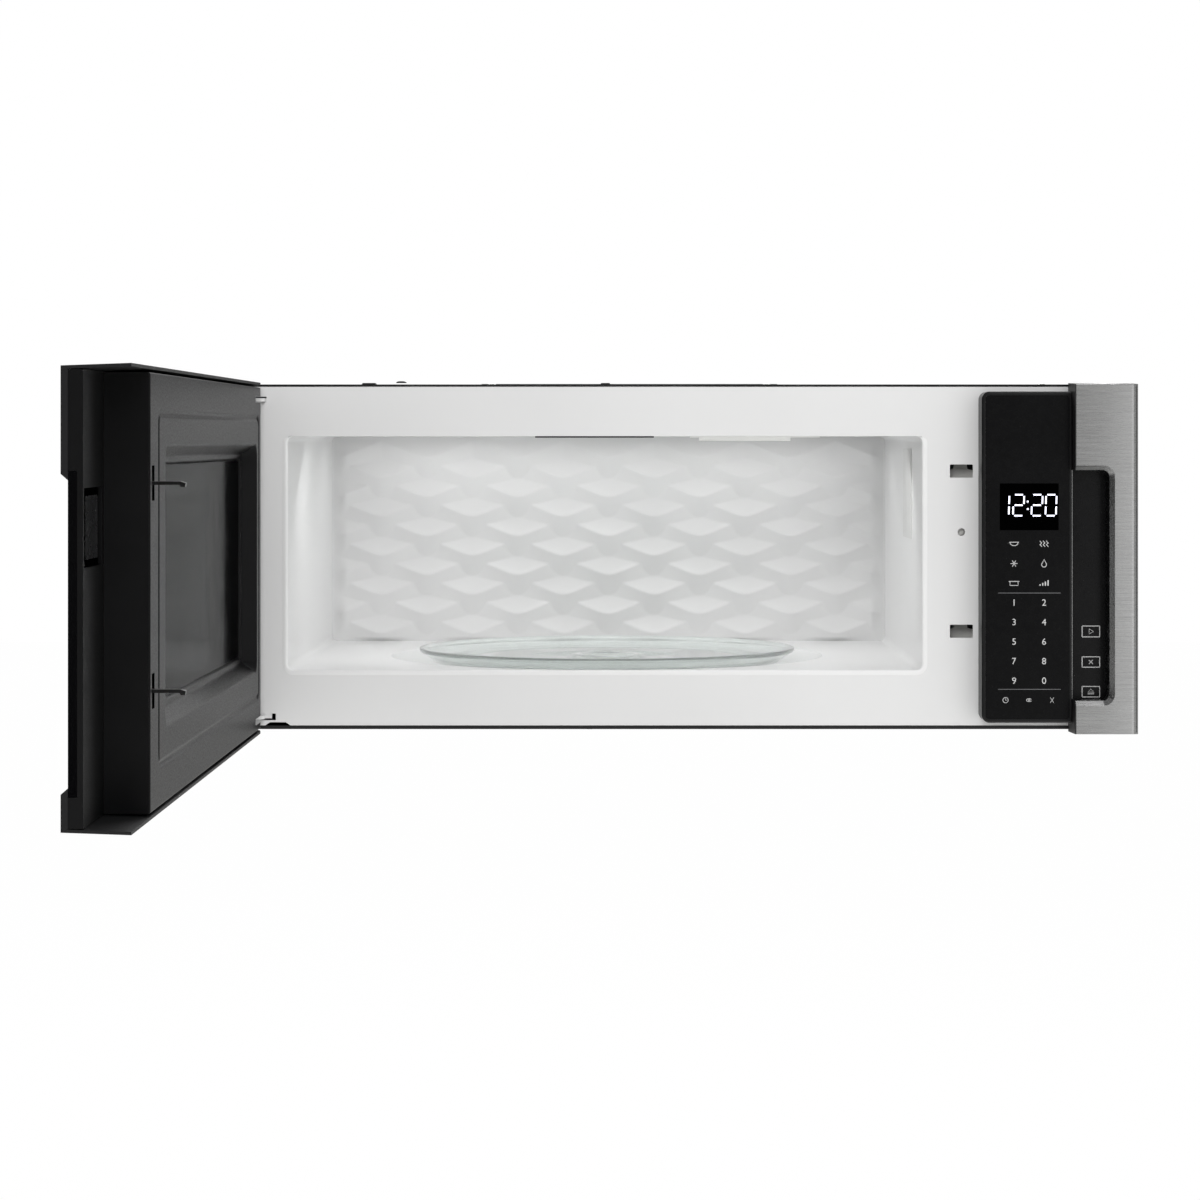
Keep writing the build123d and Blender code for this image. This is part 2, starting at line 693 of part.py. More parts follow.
def ceiling_pieces():
    """Lamp lens and vent grille that hang just below the cavity's ceiling."""
    z = cavity_z1
    y, half = lamp_bar_y, lamp_bar_d / 2
    flange = block(lamp_bar_x0 - 7, lamp_bar_x1 + 23, y - half - 5, y + half + 5, z - 1.0, z)
    bar = block(lamp_bar_x0, lamp_bar_x1, y - half, y + half, z - lamp_bar_drop, z + 2)
    bar = fillet(bar.edges().filter_by(Axis.X).group_by(Axis.Z)[0], 1.5)
    grille = block(vent_x0, vent_x1, vent_y - vent_d / 2, vent_y + vent_d / 2, z - 1.2, z)
    for col in range(vent_slots):
        x = vent_x0 + (col + 0.8) * vent_w / (vent_slots + 1)
        grille -= block(x, x + 3.0, vent_y - vent_d / 2 + 4, vent_y + vent_d / 2 - 4, z - 2, z + 1)
    lamp = block(lamp_bar_x0 + 4, lamp_bar_x1 - 4, y - half + 1, y + half - 1, z + 2 + seat_gap, z + 14)
    return flange + bar, grille, lamp


# ---- turntable --------------------------------------------------------------------------------------
def turntable_motor():
    """Flat synchronous motor under the well, with two ears and its output spindle."""
    top = well_z - cavity_wall
    body = disc(table_x, table_y, top - motor_h, top, motor_r)
    ears = Pos(table_x, table_y, top - 1.6) * extrude(SlotOverall(2 * motor_r + 22, 12), 1.6)
    ears -= disc(table_x - motor_r - 5, table_y, top - 3, top + 1, 2.2)
    ears -= disc(table_x + motor_r + 5, table_y, top - 3, top + 1, 2.2)
    spindle = disc(table_x, table_y, top - 2, coupler_z1 - 1.8, spindle_r)
    return body + ears + spindle


def drive_coupler():
    """Three-armed hub that turns the tray; bored for the spindle."""
    z1 = coupler_z1
    hub = disc(table_x, table_y, z1 - coupler_h - 2.5, z1, coupler_hub_r)
    for turn in (30, 150, 270):
        arm = Rot(0, 0, turn) * Pos(coupler_r / 2, 0) * SlotOverall(coupler_r + coupler_arm_w, coupler_arm_w)
        hub += Pos(table_x, table_y, z1 - coupler_h) * extrude(arm, coupler_h)
    return hub - disc(table_x, table_y, 0, z1 - 1.3, spindle_r + spindle_clear)


def glass_tray():
    """12 in tray turned from one profile; three lugs in its raised middle engage the coupler's arms."""
    z = tray_z
    r = tray_r
    side = Polyline((0, z + lug_h), (hub_recess_r - 1.5, z + lug_h), (hub_recess_r, z),
                    (r - tray_rim_w - 4, z), (r - 2.5, z + tray_h - 4.5), (r, z + tray_h - 3.5),
                    (r, z + tray_h), (r - 3.5, z + tray_h), (r - tray_rim_w - 3, z + tray_t),
                    (hub_recess_r + 7, z + tray_t), (hub_recess_r + 2, z + tray_t + lug_h),
                    (0, z + tray_t + lug_h), close=True)
    tray = Pos(table_x, table_y, 0) * revolve(Plane.XZ * make_face(side), Axis.Z)
    for turn in (90, 210, 330):
        lug = Rot(0, 0, turn) * Pos(coupler_r, 0) * SlotOverall(2 * lug_w, lug_w)
        tray += Pos(table_x, table_y, z) * extrude(lug, lug_h + embed)
    return tray


def at_roller(turn, piece):
    """Put a piece drawn along +X from the turntable's middle to one of the rollers."""
    return Pos(table_x, table_y, roller_z) * Rot(0, 0, turn) * piece


def roller_ring():
    """Ring with three stub axles."""
    outer = roller_at - roller_w / 2 - 0.5
    ring = Pos(table_x, table_y, roller_z - ring_t / 2) * extrude(
        Circle(outer) - Circle(outer - ring_w), ring_t)
    for turn in roller_turns:
        stub = rod_x(outer - 1, roller_at + roller_w / 2 + 0.4, 0, 0, axle_r)
        head = rod_x(roller_at + roller_w / 2 + 0.4, roller_at + roller_w / 2 + 1.6, 0, 0, axle_head_r)
        ring += at_roller(turn, stub + head)
    return ring


def roller_wheel(turn):
    """One roller, bored for its axle."""
    tyre = rod_x(roller_at - roller_w / 2, roller_at + roller_w / 2, 0, 0, roller_r)
    bore = rod_x(roller_at - roller_w, roller_at + roller_w, 0, 0, axle_r + axle_clear)
    return at_roller(turn, tyre - bore)


# ---- door, drawn closed ------------------------------------------------------------------------------
def dress_block(x0, x1, inset):
    """Solid between front and frame whose top and bottom open out towards the case, less an inset."""
    side = Polyline((door_front_y + inset, door_z0 + inset), (door_front_y + inset, door_z1 - inset),
                    (door_back_y + inset, door_z1 + door_flare - inset),
                    (door_back_y + inset, door_z0 - door_flare + inset), close=True)
    return extrude(Plane.YZ.offset(x0) * make_face(side), x1 - x0)


def door_plan(x1, y_front, y_back, inset=0.0):
    """Upright solid of the door's plan: square at the free edge, rounded about the hinge pin."""
    edge = door_x0 + inset
    plan = Pos((edge + x1) / 2, (y_front + hinge_y) / 2) * Rectangle(x1 - edge, hinge_y - y_front)
    if y_front < skin_back_y:
        plan = fillet(plan.vertices().sort_by(Axis.X)[:2].sort_by(Axis.Y)[0], skin_corner)
    plan += Pos((hinge_x + x1) / 2, (hinge_y + y_back) / 2) * Rectangle(x1 - hinge_x, y_back - hinge_y)
    plan += Pos(hinge_x, hinge_y) * Circle(hinge_round_r - inset)
    tall = extrude(plan, 2 * case_h, both=True)
    return tall & block(-case_w, case_w, y_front, y_back, -case_h, 2 * case_h)


def window_cut():
    """Glass area of the skin: bevelled edges, rounded at the hinge side, open at the free edge."""
    shape = outline(window_x0, door_x1 + 60, window_z0, window_z1, window_r)
    angle = degrees(atan2(window_bevel, skin_t))
    return plate(shape, door_front_y - 0.01, skin_t + 0.02, taper=-angle)


def hinge_rooms():
    """Room that the two hinge arms need inside the door over its whole swing."""
    rooms = []
    for z in (hinge_low_z, hinge_high_z):
        low = z - hinge_clear
        high = z + hinge_arm_t + hinge_clear
        sweep = disc(hinge_x, hinge_y, low, high, hinge_pocket_r)
        rooms.append(sweep & block(hinge_x - 60, hinge_x + 60, hinge_y - hinge_arm_w, 0, low, high))
    return rooms


def door_skin():
    """Stainless tray: hemmed front with the bevelled glass opening, flared flanges, hinge edge rounded."""
    shell = dress_block(door_x0, door_x1, 0)
    hollow = dress_block(door_x0 + flange_t, door_x1 + 1, flange_t)
    hollow &= block(-case_w, case_w, skin_back_y, 0, -case_h, 2 * case_h)
    shell -= hollow
    shell &= door_plan(door_x1, door_front_y, door_back_y)
    shell -= window_cut()
    side_cut = block(door_x0 - 1, hinge_x, hinge_y, 0, body_z0, body_z1)
    return shell - side_cut


def door_glass():
    """Black glass behind the skin, to the free edge."""
    shape = outline(window_x0 - glass_border, door_x1 - glass_edge,
                    window_z0 - glass_border, window_z1 + glass_border)
    return plate(shape, skin_back_y, glass_t)


def door_frame():
    """Black frame: carrier plate with the display slot, and the door body's walls."""
    x0 = door_x0 + flange_t + seat_gap
    z0 = door_z0 + flange_t + seat_gap
    z1 = door_z1 - flange_t - seat_gap
    x1 = door_x1 - glass_edge
    carrier = plate(outline(x0, x1, z0, z1), glass_back_y, overlap_back_y - glass_back_y)
    filler = plate(outline(x0, x1, z0, z1), skin_back_y, glass_t)
    filler -= plate(outline(window_x0 - glass_border - seat_gap, door_x1 + 5,
                            window_z0 - glass_border - seat_gap, window_z1 + glass_border + seat_gap),
                    skin_back_y - 1, glass_t + 1)
    walls = outline(hinge_x - hinge_round_r, body_x1, body_z0, body_z1)
    walls -= outline(x0 + body_wall, body_x1 - body_wall, body_z0 + body_wall, body_z1 - body_wall)
    frame = carrier + filler + plate(walls, overlap_back_y, door_back_y - panel_t - overlap_back_y)
    rim = recess_draft + recess_band + step_draft
    frame -= sink(outline(recess_x0 + rim, recess_x1 - rim, recess_z0 + rim, recess_z1 - rim, 6.0),
                  skin_back_y - 1, overlap_t)
    frame -= sink(outline(slot_x0, slot_x1, slot_z0, slot_z1), skin_back_y - 1, overlap_t)
    frame &= door_plan(door_x1, skin_back_y, door_back_y, flange_t + seat_gap)
    for room in hinge_rooms():
        frame -= room
    return frame


def pressed(x0, x1, z0, z1, r, y, depth, draft, t):
    """Sheet pressed from depth y towards the user: sloped walls and a floor, and its hollow."""
    angle = degrees(atan2(draft, depth))
    start = Plane.XZ.offset(-y)
    outer = extrude(start * outline(x0 - t, x1 + t, z0 - t, z1 + t, r + t), depth + t, taper=angle)
    inner = extrude(start * outline(x0, x1, z0, z1, r), depth, taper=angle)
    return outer, inner


def door_inner_panel():
    """Stamped inner panel: outline groove, stepped window recess, hook slots and hinge relief."""
    t = panel_t
    panel = plate(outline(door_x0, body_x1, body_z0, body_z1), door_back_y - t, t)
    panel &= door_plan(door_x1, door_front_y, door_back_y, flange_t + seat_gap)
    outer, inner = pressed(recess_x0, recess_x1, recess_z0, recess_z1, recess_r,
                           door_back_y, recess_d, recess_draft, t)
    inset = recess_draft + recess_band
    outer2, inner2 = pressed(recess_x0 + inset, recess_x1 - inset, recess_z0 + inset, recess_z1 - inset,
                             step_r, door_back_y - recess_d, step_d, step_draft, t)
    panel = panel + outer + outer2 - inner - inner2
    rim = inset + step_draft + step_band
    panel -= sink(outline(recess_x0 + rim, recess_x1 - rim, recess_z0 + rim, recess_z1 - rim, 4.0),
                  door_back_y - recess_d - 10, 20)
    groove = outline(groove_x0, groove_x1, groove_z0, groove_z1, groove_r)
    groove -= outline(groove_x0 + groove_w, groove_x1 - groove_w, groove_z0 + groove_w,
                      groove_z1 - groove_w, groove_r - groove_w)
    panel -= plate(groove, door_back_y - groove_d, groove_d + 0.01)
    for z in (hook_low_z, hook_high_z):
        middle = z + hook_t / 2
        slot = outline(hook_x0 - hook_slot_clear, hook_x0 + hook_w + hook_slot_clear,
                       middle - hook_slot_h / 2, middle + hook_slot_h / 2, 2.0)
        panel -= plate(slot, door_back_y - 2 * t, 4 * t)
    for room in hinge_rooms():
        panel -= room
    return panel


def door_window():
    """Perforated screen's sheet and the clear pane over it, on the recess's step."""
    rim = recess_draft + recess_band + step_draft + 1.0
    seat = door_back_y - recess_d - step_d
    pane = plate(outline(recess_x0 + rim, recess_x1 - rim, recess_z0 + rim, recess_z1 - rim, 4.0),
                 seat, window_pane_t)
    screen = plate(outline(recess_x0 + rim, recess_x1 - rim, recess_z0 + rim, recess_z1 - rim, 4.0),
                   seat - panel_t - screen_t, screen_t)
    return pane, screen


def latch_slider():
    """Upright bar inside the door that carries both hooks."""
    y0 = overlap_back_y + slider_clear
    bar = block(hook_x0, hook_x0 + hook_w, y0, y0 + slider_t,
                hook_low_z - slider_tail, hook_high_z + slider_head)
    tip = door_back_y + hook_reach
    for z in (hook_low_z, hook_high_z):
        side = Polyline((y0, z), (y0, z + hook_t), (tip - 3, z + hook_t), (tip, z + hook_t - 1.0),
                        (tip - 0.5, z - hook_nose), (tip - 3.0, z - hook_nose), (tip - 3.6, z), close=True)
        bar += extrude(Plane.YZ.offset(hook_x0) * make_face(side), hook_w)
    return bar


def latch_spring():
    """Return spring between the frame and the top of the slider."""
    x = hook_x0 + hook_w / 2
    y = overlap_back_y + slider_clear + slider_t / 2
    z0 = hook_high_z + slider_head + seat_gap
    return disc(x, y, z0, body_z1 - body_wall - seat_gap, spring_r)


def door_hinge_plates():
    """Two bent plates in the door, bored for the hinge pins."""
    y = overlap_back_y
    piece = None
    for z, up in ((hinge_low_z + hinge_arm_t + seat_gap, 1), (hinge_high_z - seat_gap - hinge_arm_t, -1)):
        leaf = block(hinge_x - 8, hinge_x + 34, y, hinge_y + 9, z, z + hinge_arm_t)
        upright = (z, z + hinge_flange_h) if up > 0 else (z + hinge_arm_t - hinge_flange_h, z + hinge_arm_t)
        leaf += block(hinge_x - 8, hinge_x + 34, y, y + hinge_arm_t, upright[0], upright[1])
        leaf -= disc(hinge_x, hinge_y, z - 1, z + hinge_arm_t + 1, hinge_pin_r + hinge_pin_clear)
        piece = leaf if piece is None else piece + leaf
    return piece


def hinge_brackets():
    """Lower and upper arm from behind the face frame to the pins, each with its screwed flange."""
    path = Polyline((hinge_x, hinge_y), (hinge_slot_x, front_y - 5), (hinge_slot_x, frame_back_y + bracket_t))
    arm = trace(path, hinge_arm_w - 3) + Pos(hinge_x, hinge_y) * Circle(hinge_arm_w / 2)
    pair = []
    for z, up in ((hinge_low_z, 1), (hinge_high_z, -1)):
        top = z + hinge_arm_t
        low, high = (z, z + hinge_flange_h) if up > 0 else (top - hinge_flange_h, top)
        piece = Pos(0, 0, z) * extrude(arm, hinge_arm_t)
        piece += block(hinge_slot_x - 15, hinge_slot_x + 9, frame_back_y, frame_back_y + bracket_t, low, high)
        pin_z0, pin_z1 = (z, top + pin_reach) if up > 0 else (z - pin_reach, top)
        pair.append(piece + disc(hinge_x, hinge_y, pin_z0, pin_z1, hinge_pin_r))
    return Compound(children=[solid for piece in pair for solid in piece.solids()])


# ---- latch board and push rod ------------------------------------------------------------------------
def latch_board():
    """Moulded board behind the frame, with the push rod's guide."""
    x0 = latch_x0 + latch_w + 3.0
    board = block(x0, x0 + 2.5, frame_back_y, frame_back_y + 38, latch_low_z - 12, latch_high_z + 22)
    board += block(x0, x0 + 18, frame_back_y, frame_back_y + 2.5, latch_low_z - 12, latch_high_z + 22)
    board += block(push_x - 6, x0 + 1, frame_back_y + 6, frame_back_y + 20, push_z - 6, push_z + 6)
    return board - rod_y(push_x, frame_back_y, frame_back_y + 30, push_z, push_r + push_bore_clear)


def interlock_switches():
    """Three snap switches that the hooks work."""
    x1 = latch_x0 + latch_w + 3.0
    y0 = front_y + hook_reach + 2.5
    group = None
    for z in (hook_low_z - 8, hook_low_z + 10, hook_high_z - 8):
        body = block(x1 - 10.3, x1, y0 + 3, y0 + 19, z, z + 16)
        body += block(x1 - 7, x1 - 4, y0, y0 + 3, z + 3, z + 6)
        group = body if group is None else group + body
    return group


def push_rod():
    """Rod that starts the door open; it slides in the latch board's guide."""
    y0 = front_y + push_recess
    rod = rod_y(push_x, y0, y0 + push_len, push_z, push_r)
    return rod + rod_y(push_x, y0 + push_len - 3, y0 + push_len, push_z, push_collar_r)


# ---- front dress ------------------------------------------------------------------------------------
def column(x0, x1, open_left):
    """Stainless end column, hollow from behind, its outer upright edge rounded."""
    solid = dress_block(x0, x1, 0)
    outer = 1 if open_left else -1
    edge = solid.edges().filter_by(Axis.Z).group_by(Axis.Y)[0].sort_by(Axis.X)
    solid = fillet(edge[-1] if outer > 0 else edge[0], column_r)
    hollow = dress_block(x0 + column_wall, x1 - column_wall, column_wall)
    return solid - hollow


def right_column():
    """Right column; its front is folded in round the pull pocket's notch as a sloped lip."""
    t = column_wall
    angle = degrees(atan2(window_bevel, skin_t))
    lip = plate(outline(column_x0 - 60, pocket_x1 + t, window_z0 - t, window_z1 + t, window_r + t),
                door_front_y, skin_t, taper=-angle)
    notch = plate(outline(column_x0 - 60, pocket_x1, window_z0, window_z1, window_r),
                  door_front_y - 0.01, skin_t + 0.02, taper=-angle)
    lip &= block(column_x0, right_x - t, door_front_y, front_y, 0, case_h)
    piece = column(column_x0, right_x, True) + lip - notch
    return piece - block(column_x0 - 1, column_x0 + t + 1, door_front_y - 1, door_front_y + pocket_depth,
                         window_z0, window_z1)


def left_column():
    """Plain left column."""
    return column(left_x, left_column_x1, False)


def pocket_panel():
    """Black tub behind the notch: the finger room at the door's edge, with a touch surface as floor."""
    wall = pocket_wall
    x0 = column_x0 + column_wall + seat_gap
    y0 = door_front_y + skin_t + seat_gap
    depth = door_front_y + pocket_depth - y0
    tub = plate(outline(x0, pocket_x1 + wall, window_z0 - wall, window_z1 + wall), y0, depth + pocket_floor_t)
    return tub - plate(outline(x0 - 20, pocket_x1, window_z0, window_z1, window_r), y0 - 1, depth + 1)


panel_face = (panel_x0 + panel_bevel + panel_lip, panel_x1 - panel_lip,
              panel_z0 + panel_bevel + panel_lip, panel_z1 - panel_bevel - panel_lip)


def control_panel_housing():
    """Moulded housing in front of the frame, rounded at the door side, bevelled on three sides."""
    y = front_y - panel_out
    shape = outline(panel_x0, panel_x1, panel_z0, panel_z1)
    left = shape.vertices().group_by(Axis.X)[0]
    shape = fillet(left, panel_r)
    solid = plate(shape, y, panel_out)
    face = solid.faces().sort_by(Axis.Y)[0]
    solid = chamfer(face.edges().sort_by(Axis.X)[:-1], panel_bevel, panel_bevel_d, reference=face)
    solid -= plate(outline(panel_x0 + panel_wall, panel_x1 - panel_wall, panel_z0 + panel_wall,
                           panel_z1 - panel_wall, 3.0), y + panel_glass_t + panel_wall, panel_out)
    solid -= plate(outline(*panel_face, 2.5), y - 1, 1 + panel_glass_t)
    solid -= plate(outline(display_x0, display_x1, display_z0, display_z1), y, panel_glass_t + panel_wall + 1)
    return solid


def control_panel_glass():
    """Touch face let into the housing."""
    x0, x1, z0, z1 = panel_face
    fit = panel_glass_fit
    return plate(outline(x0 + fit, x1 - fit, z0 + fit, z1 - fit, 2.4), front_y - panel_out, panel_glass_t)


def display_module():
    """Clock display behind the touch face."""
    y = front_y - panel_out + panel_glass_t
    fit = 2 * panel_glass_fit
    window = outline(display_x0 + fit, display_x1 - fit, display_z0 + fit, display_z1 - fit)
    return plate(window, y, display_t)


def control_board():
    """Circuit board on the display's back, with relays and a small transformer."""
    y = front_y - panel_out + panel_glass_t + display_t
    board = plate(outline(panel_x0 + 5, panel_x1 - 5, panel_z0 + 8, panel_z1 - 8), y, 1.6)
    for z in (30.0, 52.0, 74.0):
        board += block(panel_x0 + 12, panel_x0 + 28, y + 1.6, y + 13, z, z + 18)
    board += block(panel_x0 + 34, panel_x0 + 60, y + 1.6, y + 14, 34, 62)
    return board


# ---- ventilation ------------------------------------------------------------------------------------
def exhaust_collar():
    """Collar round the top outlet, with the damper's bearing holes."""
    x = outlet_w / 2
    fit, t, rim = collar_fit, collar_wall, collar_flange
    y0, y1 = outlet_y1 - outlet_d, outlet_y1
    z1 = case_h + collar_h
    ring = block(-x + fit, x - fit, y0 + fit, y1 - fit, case_h - collar_skirt, z1)
    ring += block(-x - rim, x + rim, y0 - rim, y1 + rim, case_h, case_h + 0.8)
    ring -= block(-x + fit + t, x - fit - t, y0 + fit + t, y1 - fit - t, case_h - collar_skirt - 1, z1 + 1)
    return ring - rod_x(-x - 2, x + 2, damper_y, damper_z, damper_pin_r + axle_clear)


def exhaust_damper():
    """Flap that the draught lifts, turning on one long pin."""
    x = outlet_w / 2 - collar_fit - collar_wall
    y0 = outlet_y1 - outlet_d + collar_fit + collar_wall + damper_clear
    z0, z1 = damper_z - damper_t / 2, damper_z + damper_t / 2
    flap = block(-x + damper_clear, x - damper_clear, y0, damper_y, z0, z1)
    reach = x + collar_wall - 0.1
    return flap + rod_x(-reach, reach, damper_y, damper_z, damper_pin_r)


def exhaust_duct():
    """Flat duct over the cavity, from the blower's side to the outlet."""
    z0 = cavity_z1 + cavity_wall + seat_gap
    z1 = roof_z
    y0, y1 = outlet_y1 - outlet_d - 1, outlet_y1 + 1
    x0, x1 = -inner_x + 4, outlet_w / 2 + 2
    duct = block(x0, x1, y0, y1, z0, z1)
    duct -= block(x0 - 1, x1 - sheet, y0 + sheet, y1 - sheet, z0 + sheet, z1 - sheet)
    duct -= block(-outlet_w / 2, outlet_w / 2, outlet_y1 - outlet_d, outlet_y1, z1 - 9, z1 + 1)
    return duct - block(x0 - 1, cavity_x0 - 12, y0 + sheet, y1 - sheet, z0 - 1, z0 + 2)


def blower_scroll(y0, y1):
    """One spiral housing with its round inlets and the outlet upwards."""
    r = wheel_r + scroll_clear + scroll_shift
    x0 = blower_x - scroll_shift - r
    x1 = blower_x + scroll_mouth - r

    def volute(inset, top):
        round_part = Pos(blower_x - scroll_shift, blower_z) * Circle(r - inset)
        return round_part + outline(x0 + inset, x1 - inset, blower_z, top)

    solid = plate(volute(0, scroll_top), y0, y1 - y0)
    hollow = plate(volute(scroll_wall, scroll_top + 1), y0 + scroll_wall, y1 - y0 - 2 * scroll_wall)
    inlets = rod_y(blower_x, y0 - 1, y1 + 1, blower_z, inlet_r)
    return solid - hollow - inlets


def blower_housing():
    """Two scrolls either side of the motor, on feet that stand on the base pan."""
    half = blower_motor_len / 2
    length = wheel_len + 8
    foot_top = blower_z - wheel_r - scroll_clear - scroll_shift + 6
    front = blower_scroll(blower_y - half - length, blower_y - half)
    back = blower_scroll(blower_y + half, blower_y + half + length)
    for y0 in (blower_y - half - length, blower_y + half):
        foot = block(blower_x - 26, blower_x + 26, y0, y0 + length, sheet, foot_top)
        foot -= rod_y(blower_x - scroll_shift, y0 - 1, y0 + length + 1, blower_z,
                      wheel_r + scroll_clear + scroll_shift - scroll_wall / 2)
        if y0 < blower_y:
            front += foot
        else:
            back += foot
    return front, back


def blower_motor():
    """Motor between the scrolls, bored for the rotor's shaft."""
    half = blower_motor_len / 2
    body = rod_y(blower_x, blower_y - half + 6, blower_y + half - 6, blower_z, blower_motor_r)
    body = chamfer(body.edges().filter_by(GeomType.CIRCLE), 5)
    for side in (-1, 1):
        y = blower_y + side * half
        body += rod_y(blower_x, min(y, y - side * 8), max(y, y - side * 8), blower_z, inlet_r + 5)
    bore = spindle_r + spindle_clear
    return body - rod_y(blower_x, blower_y - half - 1, blower_y + half + 1, blower_z, bore)


def blower_wheels():
    """Both squirrel-cage wheels on one shaft: curved blades between two rims and a hub disc."""
    half = blower_motor_len / 2
    reach = half + wheel_len + 2
    rotor = rod_y(blower_x, blower_y - reach, blower_y + reach, blower_z, spindle_r)
    inner = wheel_r - blade_depth
    half_way = (inner + wheel_r) / 2
    bend = 0.3 * blade_sweep
    blade = make_face(Polyline((inner, 0), (half_way, bend), (wheel_r - 0.4, blade_sweep),
                               (wheel_r - 0.4, blade_sweep + blade_t), (half_way, bend + blade_t),
                               (inner, blade_t), close=True))
    ring = Circle(wheel_r) - Circle(inner - 1)
    disc_face = Circle(wheel_r)
    for side in (-1, 1):
        y0 = blower_y + half + wheel_side if side > 0 else blower_y - half - wheel_side - wheel_len
        place = Pos(blower_x, blower_z)
        blades = [Rot(0, 0, k * 360 / blade_count) * blade for k in range(blade_count)]
        cage = plate(place * Sketch(children=blades), y0 + rim_t / 2, wheel_len - rim_t)
        for y in (y0, y0 + wheel_len - rim_t):
            cage += plate(place * ring, y, rim_t)
        middle = y0 + wheel_len / 2
        cage += plate(place * disc_face, middle - rim_t / 2, rim_t)
        cage += rod_y(blower_x, middle - 10, middle + 10, blower_z, wheel_hub_r)
        rotor += cage
    return rotor


def grease_filter(x):
    """Framed aluminium filter; its expanded mesh is drawn as a thin core."""
    half_w, half_d = filter_w / 2, filter_d / 2
    z0 = sheet + filter_rest
    edge = block(x - half_w, x + half_w, filter_y - half_d, filter_y + half_d, z0, z0 + filter_t)
    b = filter_frame
    x0, x1 = x - half_w + b, x + half_w - b
    y0, y1 = filter_y - half_d + b, filter_y + half_d - b
    edge -= block(x0, x1, y0, y1, z0 - 1, z0 + filter_t + 1)
    piece = edge + block(x0, x1, y0, y1, z0 + 2.0, z0 + 5.0)
    for rib in (-1, 0, 1):
        middle = x + rib * filter_w / 5
        piece += block(middle - 1.5, middle + 1.5, y0, y1, z0 + 1, z0 + 6)
    return piece


def cooktop_lamp_parts():
    """Lens over the base pan's lamp opening, and the lamp module on it."""
    half_w, half_d = lamp_w / 2, lamp_d / 2
    inset = filter_ledge + 0.5
    lens = block(-half_w, half_w, lamp_y - half_d, lamp_y + half_d, sheet, sheet + 2.0)
    lens += block(-half_w + inset, half_w - inset, lamp_y - half_d + inset, lamp_y + half_d - inset,
                  seat_gap, sheet + embed)
    lamp = block(-half_w + 8, half_w - 8, lamp_y - 9, lamp_y + 9, sheet + 2.0 + seat_gap, sheet + 16)
    return lens, lamp


def cord_bush():
    """Bush in the top for the mains lead."""
    bush = disc(cord_x, cord_y, roof_z - 6, case_h + 3, cord_hole_r - 0.2)
    bush += disc(cord_x, cord_y, case_h, case_h + 2.5, cord_hole_r + 3)
    return bush - disc(cord_x, cord_y, roof_z - 7, case_h + 4, cord_bore_r)


# ---- everything -------------------------------------------------------------------------------------
save(case_top(), "case_top")
save(case_side(-1), "left_case_side")
save(case_side(1), "right_case_side")
save(base_pan(), "base_pan")
save(back_plate(), "back_plate")
save(wall_mounting_plate(), "wall_mounting_plate")
save(face_frame(), "face_frame")
save(cavity_shell(), "cavity_shell")
save(cavity_floor(), "cavity_floor")
save(turntable_well(), "turntable_well")
save(cavity_back(), "cavity_back")
save(waveguide(), "waveguide")
save(waveguide_cover(), "waveguide_cover")
save(magnetron(), "magnetron")
save(hv_transformer(), "hv_transformer")
save(hv_capacitor(), "hv_capacitor")
save(cooling_fan_frame(), "cooling_fan_frame")
save(cooling_fan_wheel(), "cooling_fan_wheel")
lens, grille, lamp = ceiling_pieces()
save(lens, "cavity_lamp_lens")
save(grille, "cavity_vent_grille")
save(lamp, "cavity_lamp")
save(turntable_motor(), "turntable_motor")
save(drive_coupler(), "drive_coupler")
save(glass_tray(), "glass_tray")
save(roller_ring(), "roller_ring")
for number, turn in enumerate(roller_turns, 1):
    save(roller_wheel(turn), "roller_wheel_" + str(number))
save(hinge_brackets(), "hinge_brackets")
save(latch_board(), "latch_board")
save(interlock_switches(), "interlock_switches")
save(push_rod(), "push_rod")
save(left_column(), "left_column")
save(right_column(), "right_column")
save(pocket_panel(), "pocket_panel")
save(control_panel_housing(), "control_panel_housing")
save(control_panel_glass(), "control_panel_glass")
save(display_module(), "display_module")
save(control_board(), "control_board")
save(exhaust_collar(), "exhaust_collar")
save(exhaust_damper(), "exhaust_damper")
save(exhaust_duct(), "exhaust_duct")
front_scroll, back_scroll = blower_housing()
save(front_scroll, "front_blower_scroll")
save(back_scroll, "rear_blower_scroll")
save(blower_motor(), "blower_motor")
save(blower_wheels(), "blower_wheels")
save(grease_filter(-filter_off), "left_grease_filter")
save(grease_filter(filter_off), "right_grease_filter")
lens, lamp = cooktop_lamp_parts()
save(lens, "cooktop_lamp_lens")
save(lamp, "cooktop_lamp")
save(cord_bush(), "cord_bush")
pane, screen = door_window()
for piece, name in ((door_skin(), "door_skin"), (door_glass(), "door_glass"), (door_frame(), "door_frame"),
                    (door_inner_panel(), "door_inner_panel"), (pane, "door_window_pane"),
                    (screen, "door_screen"), (door_hinge_plates(), "door_hinge_plates"),
                    (latch_slider(), "latch_slider"), (latch_spring(), "latch_spring")):
    save(open_door(piece), name)
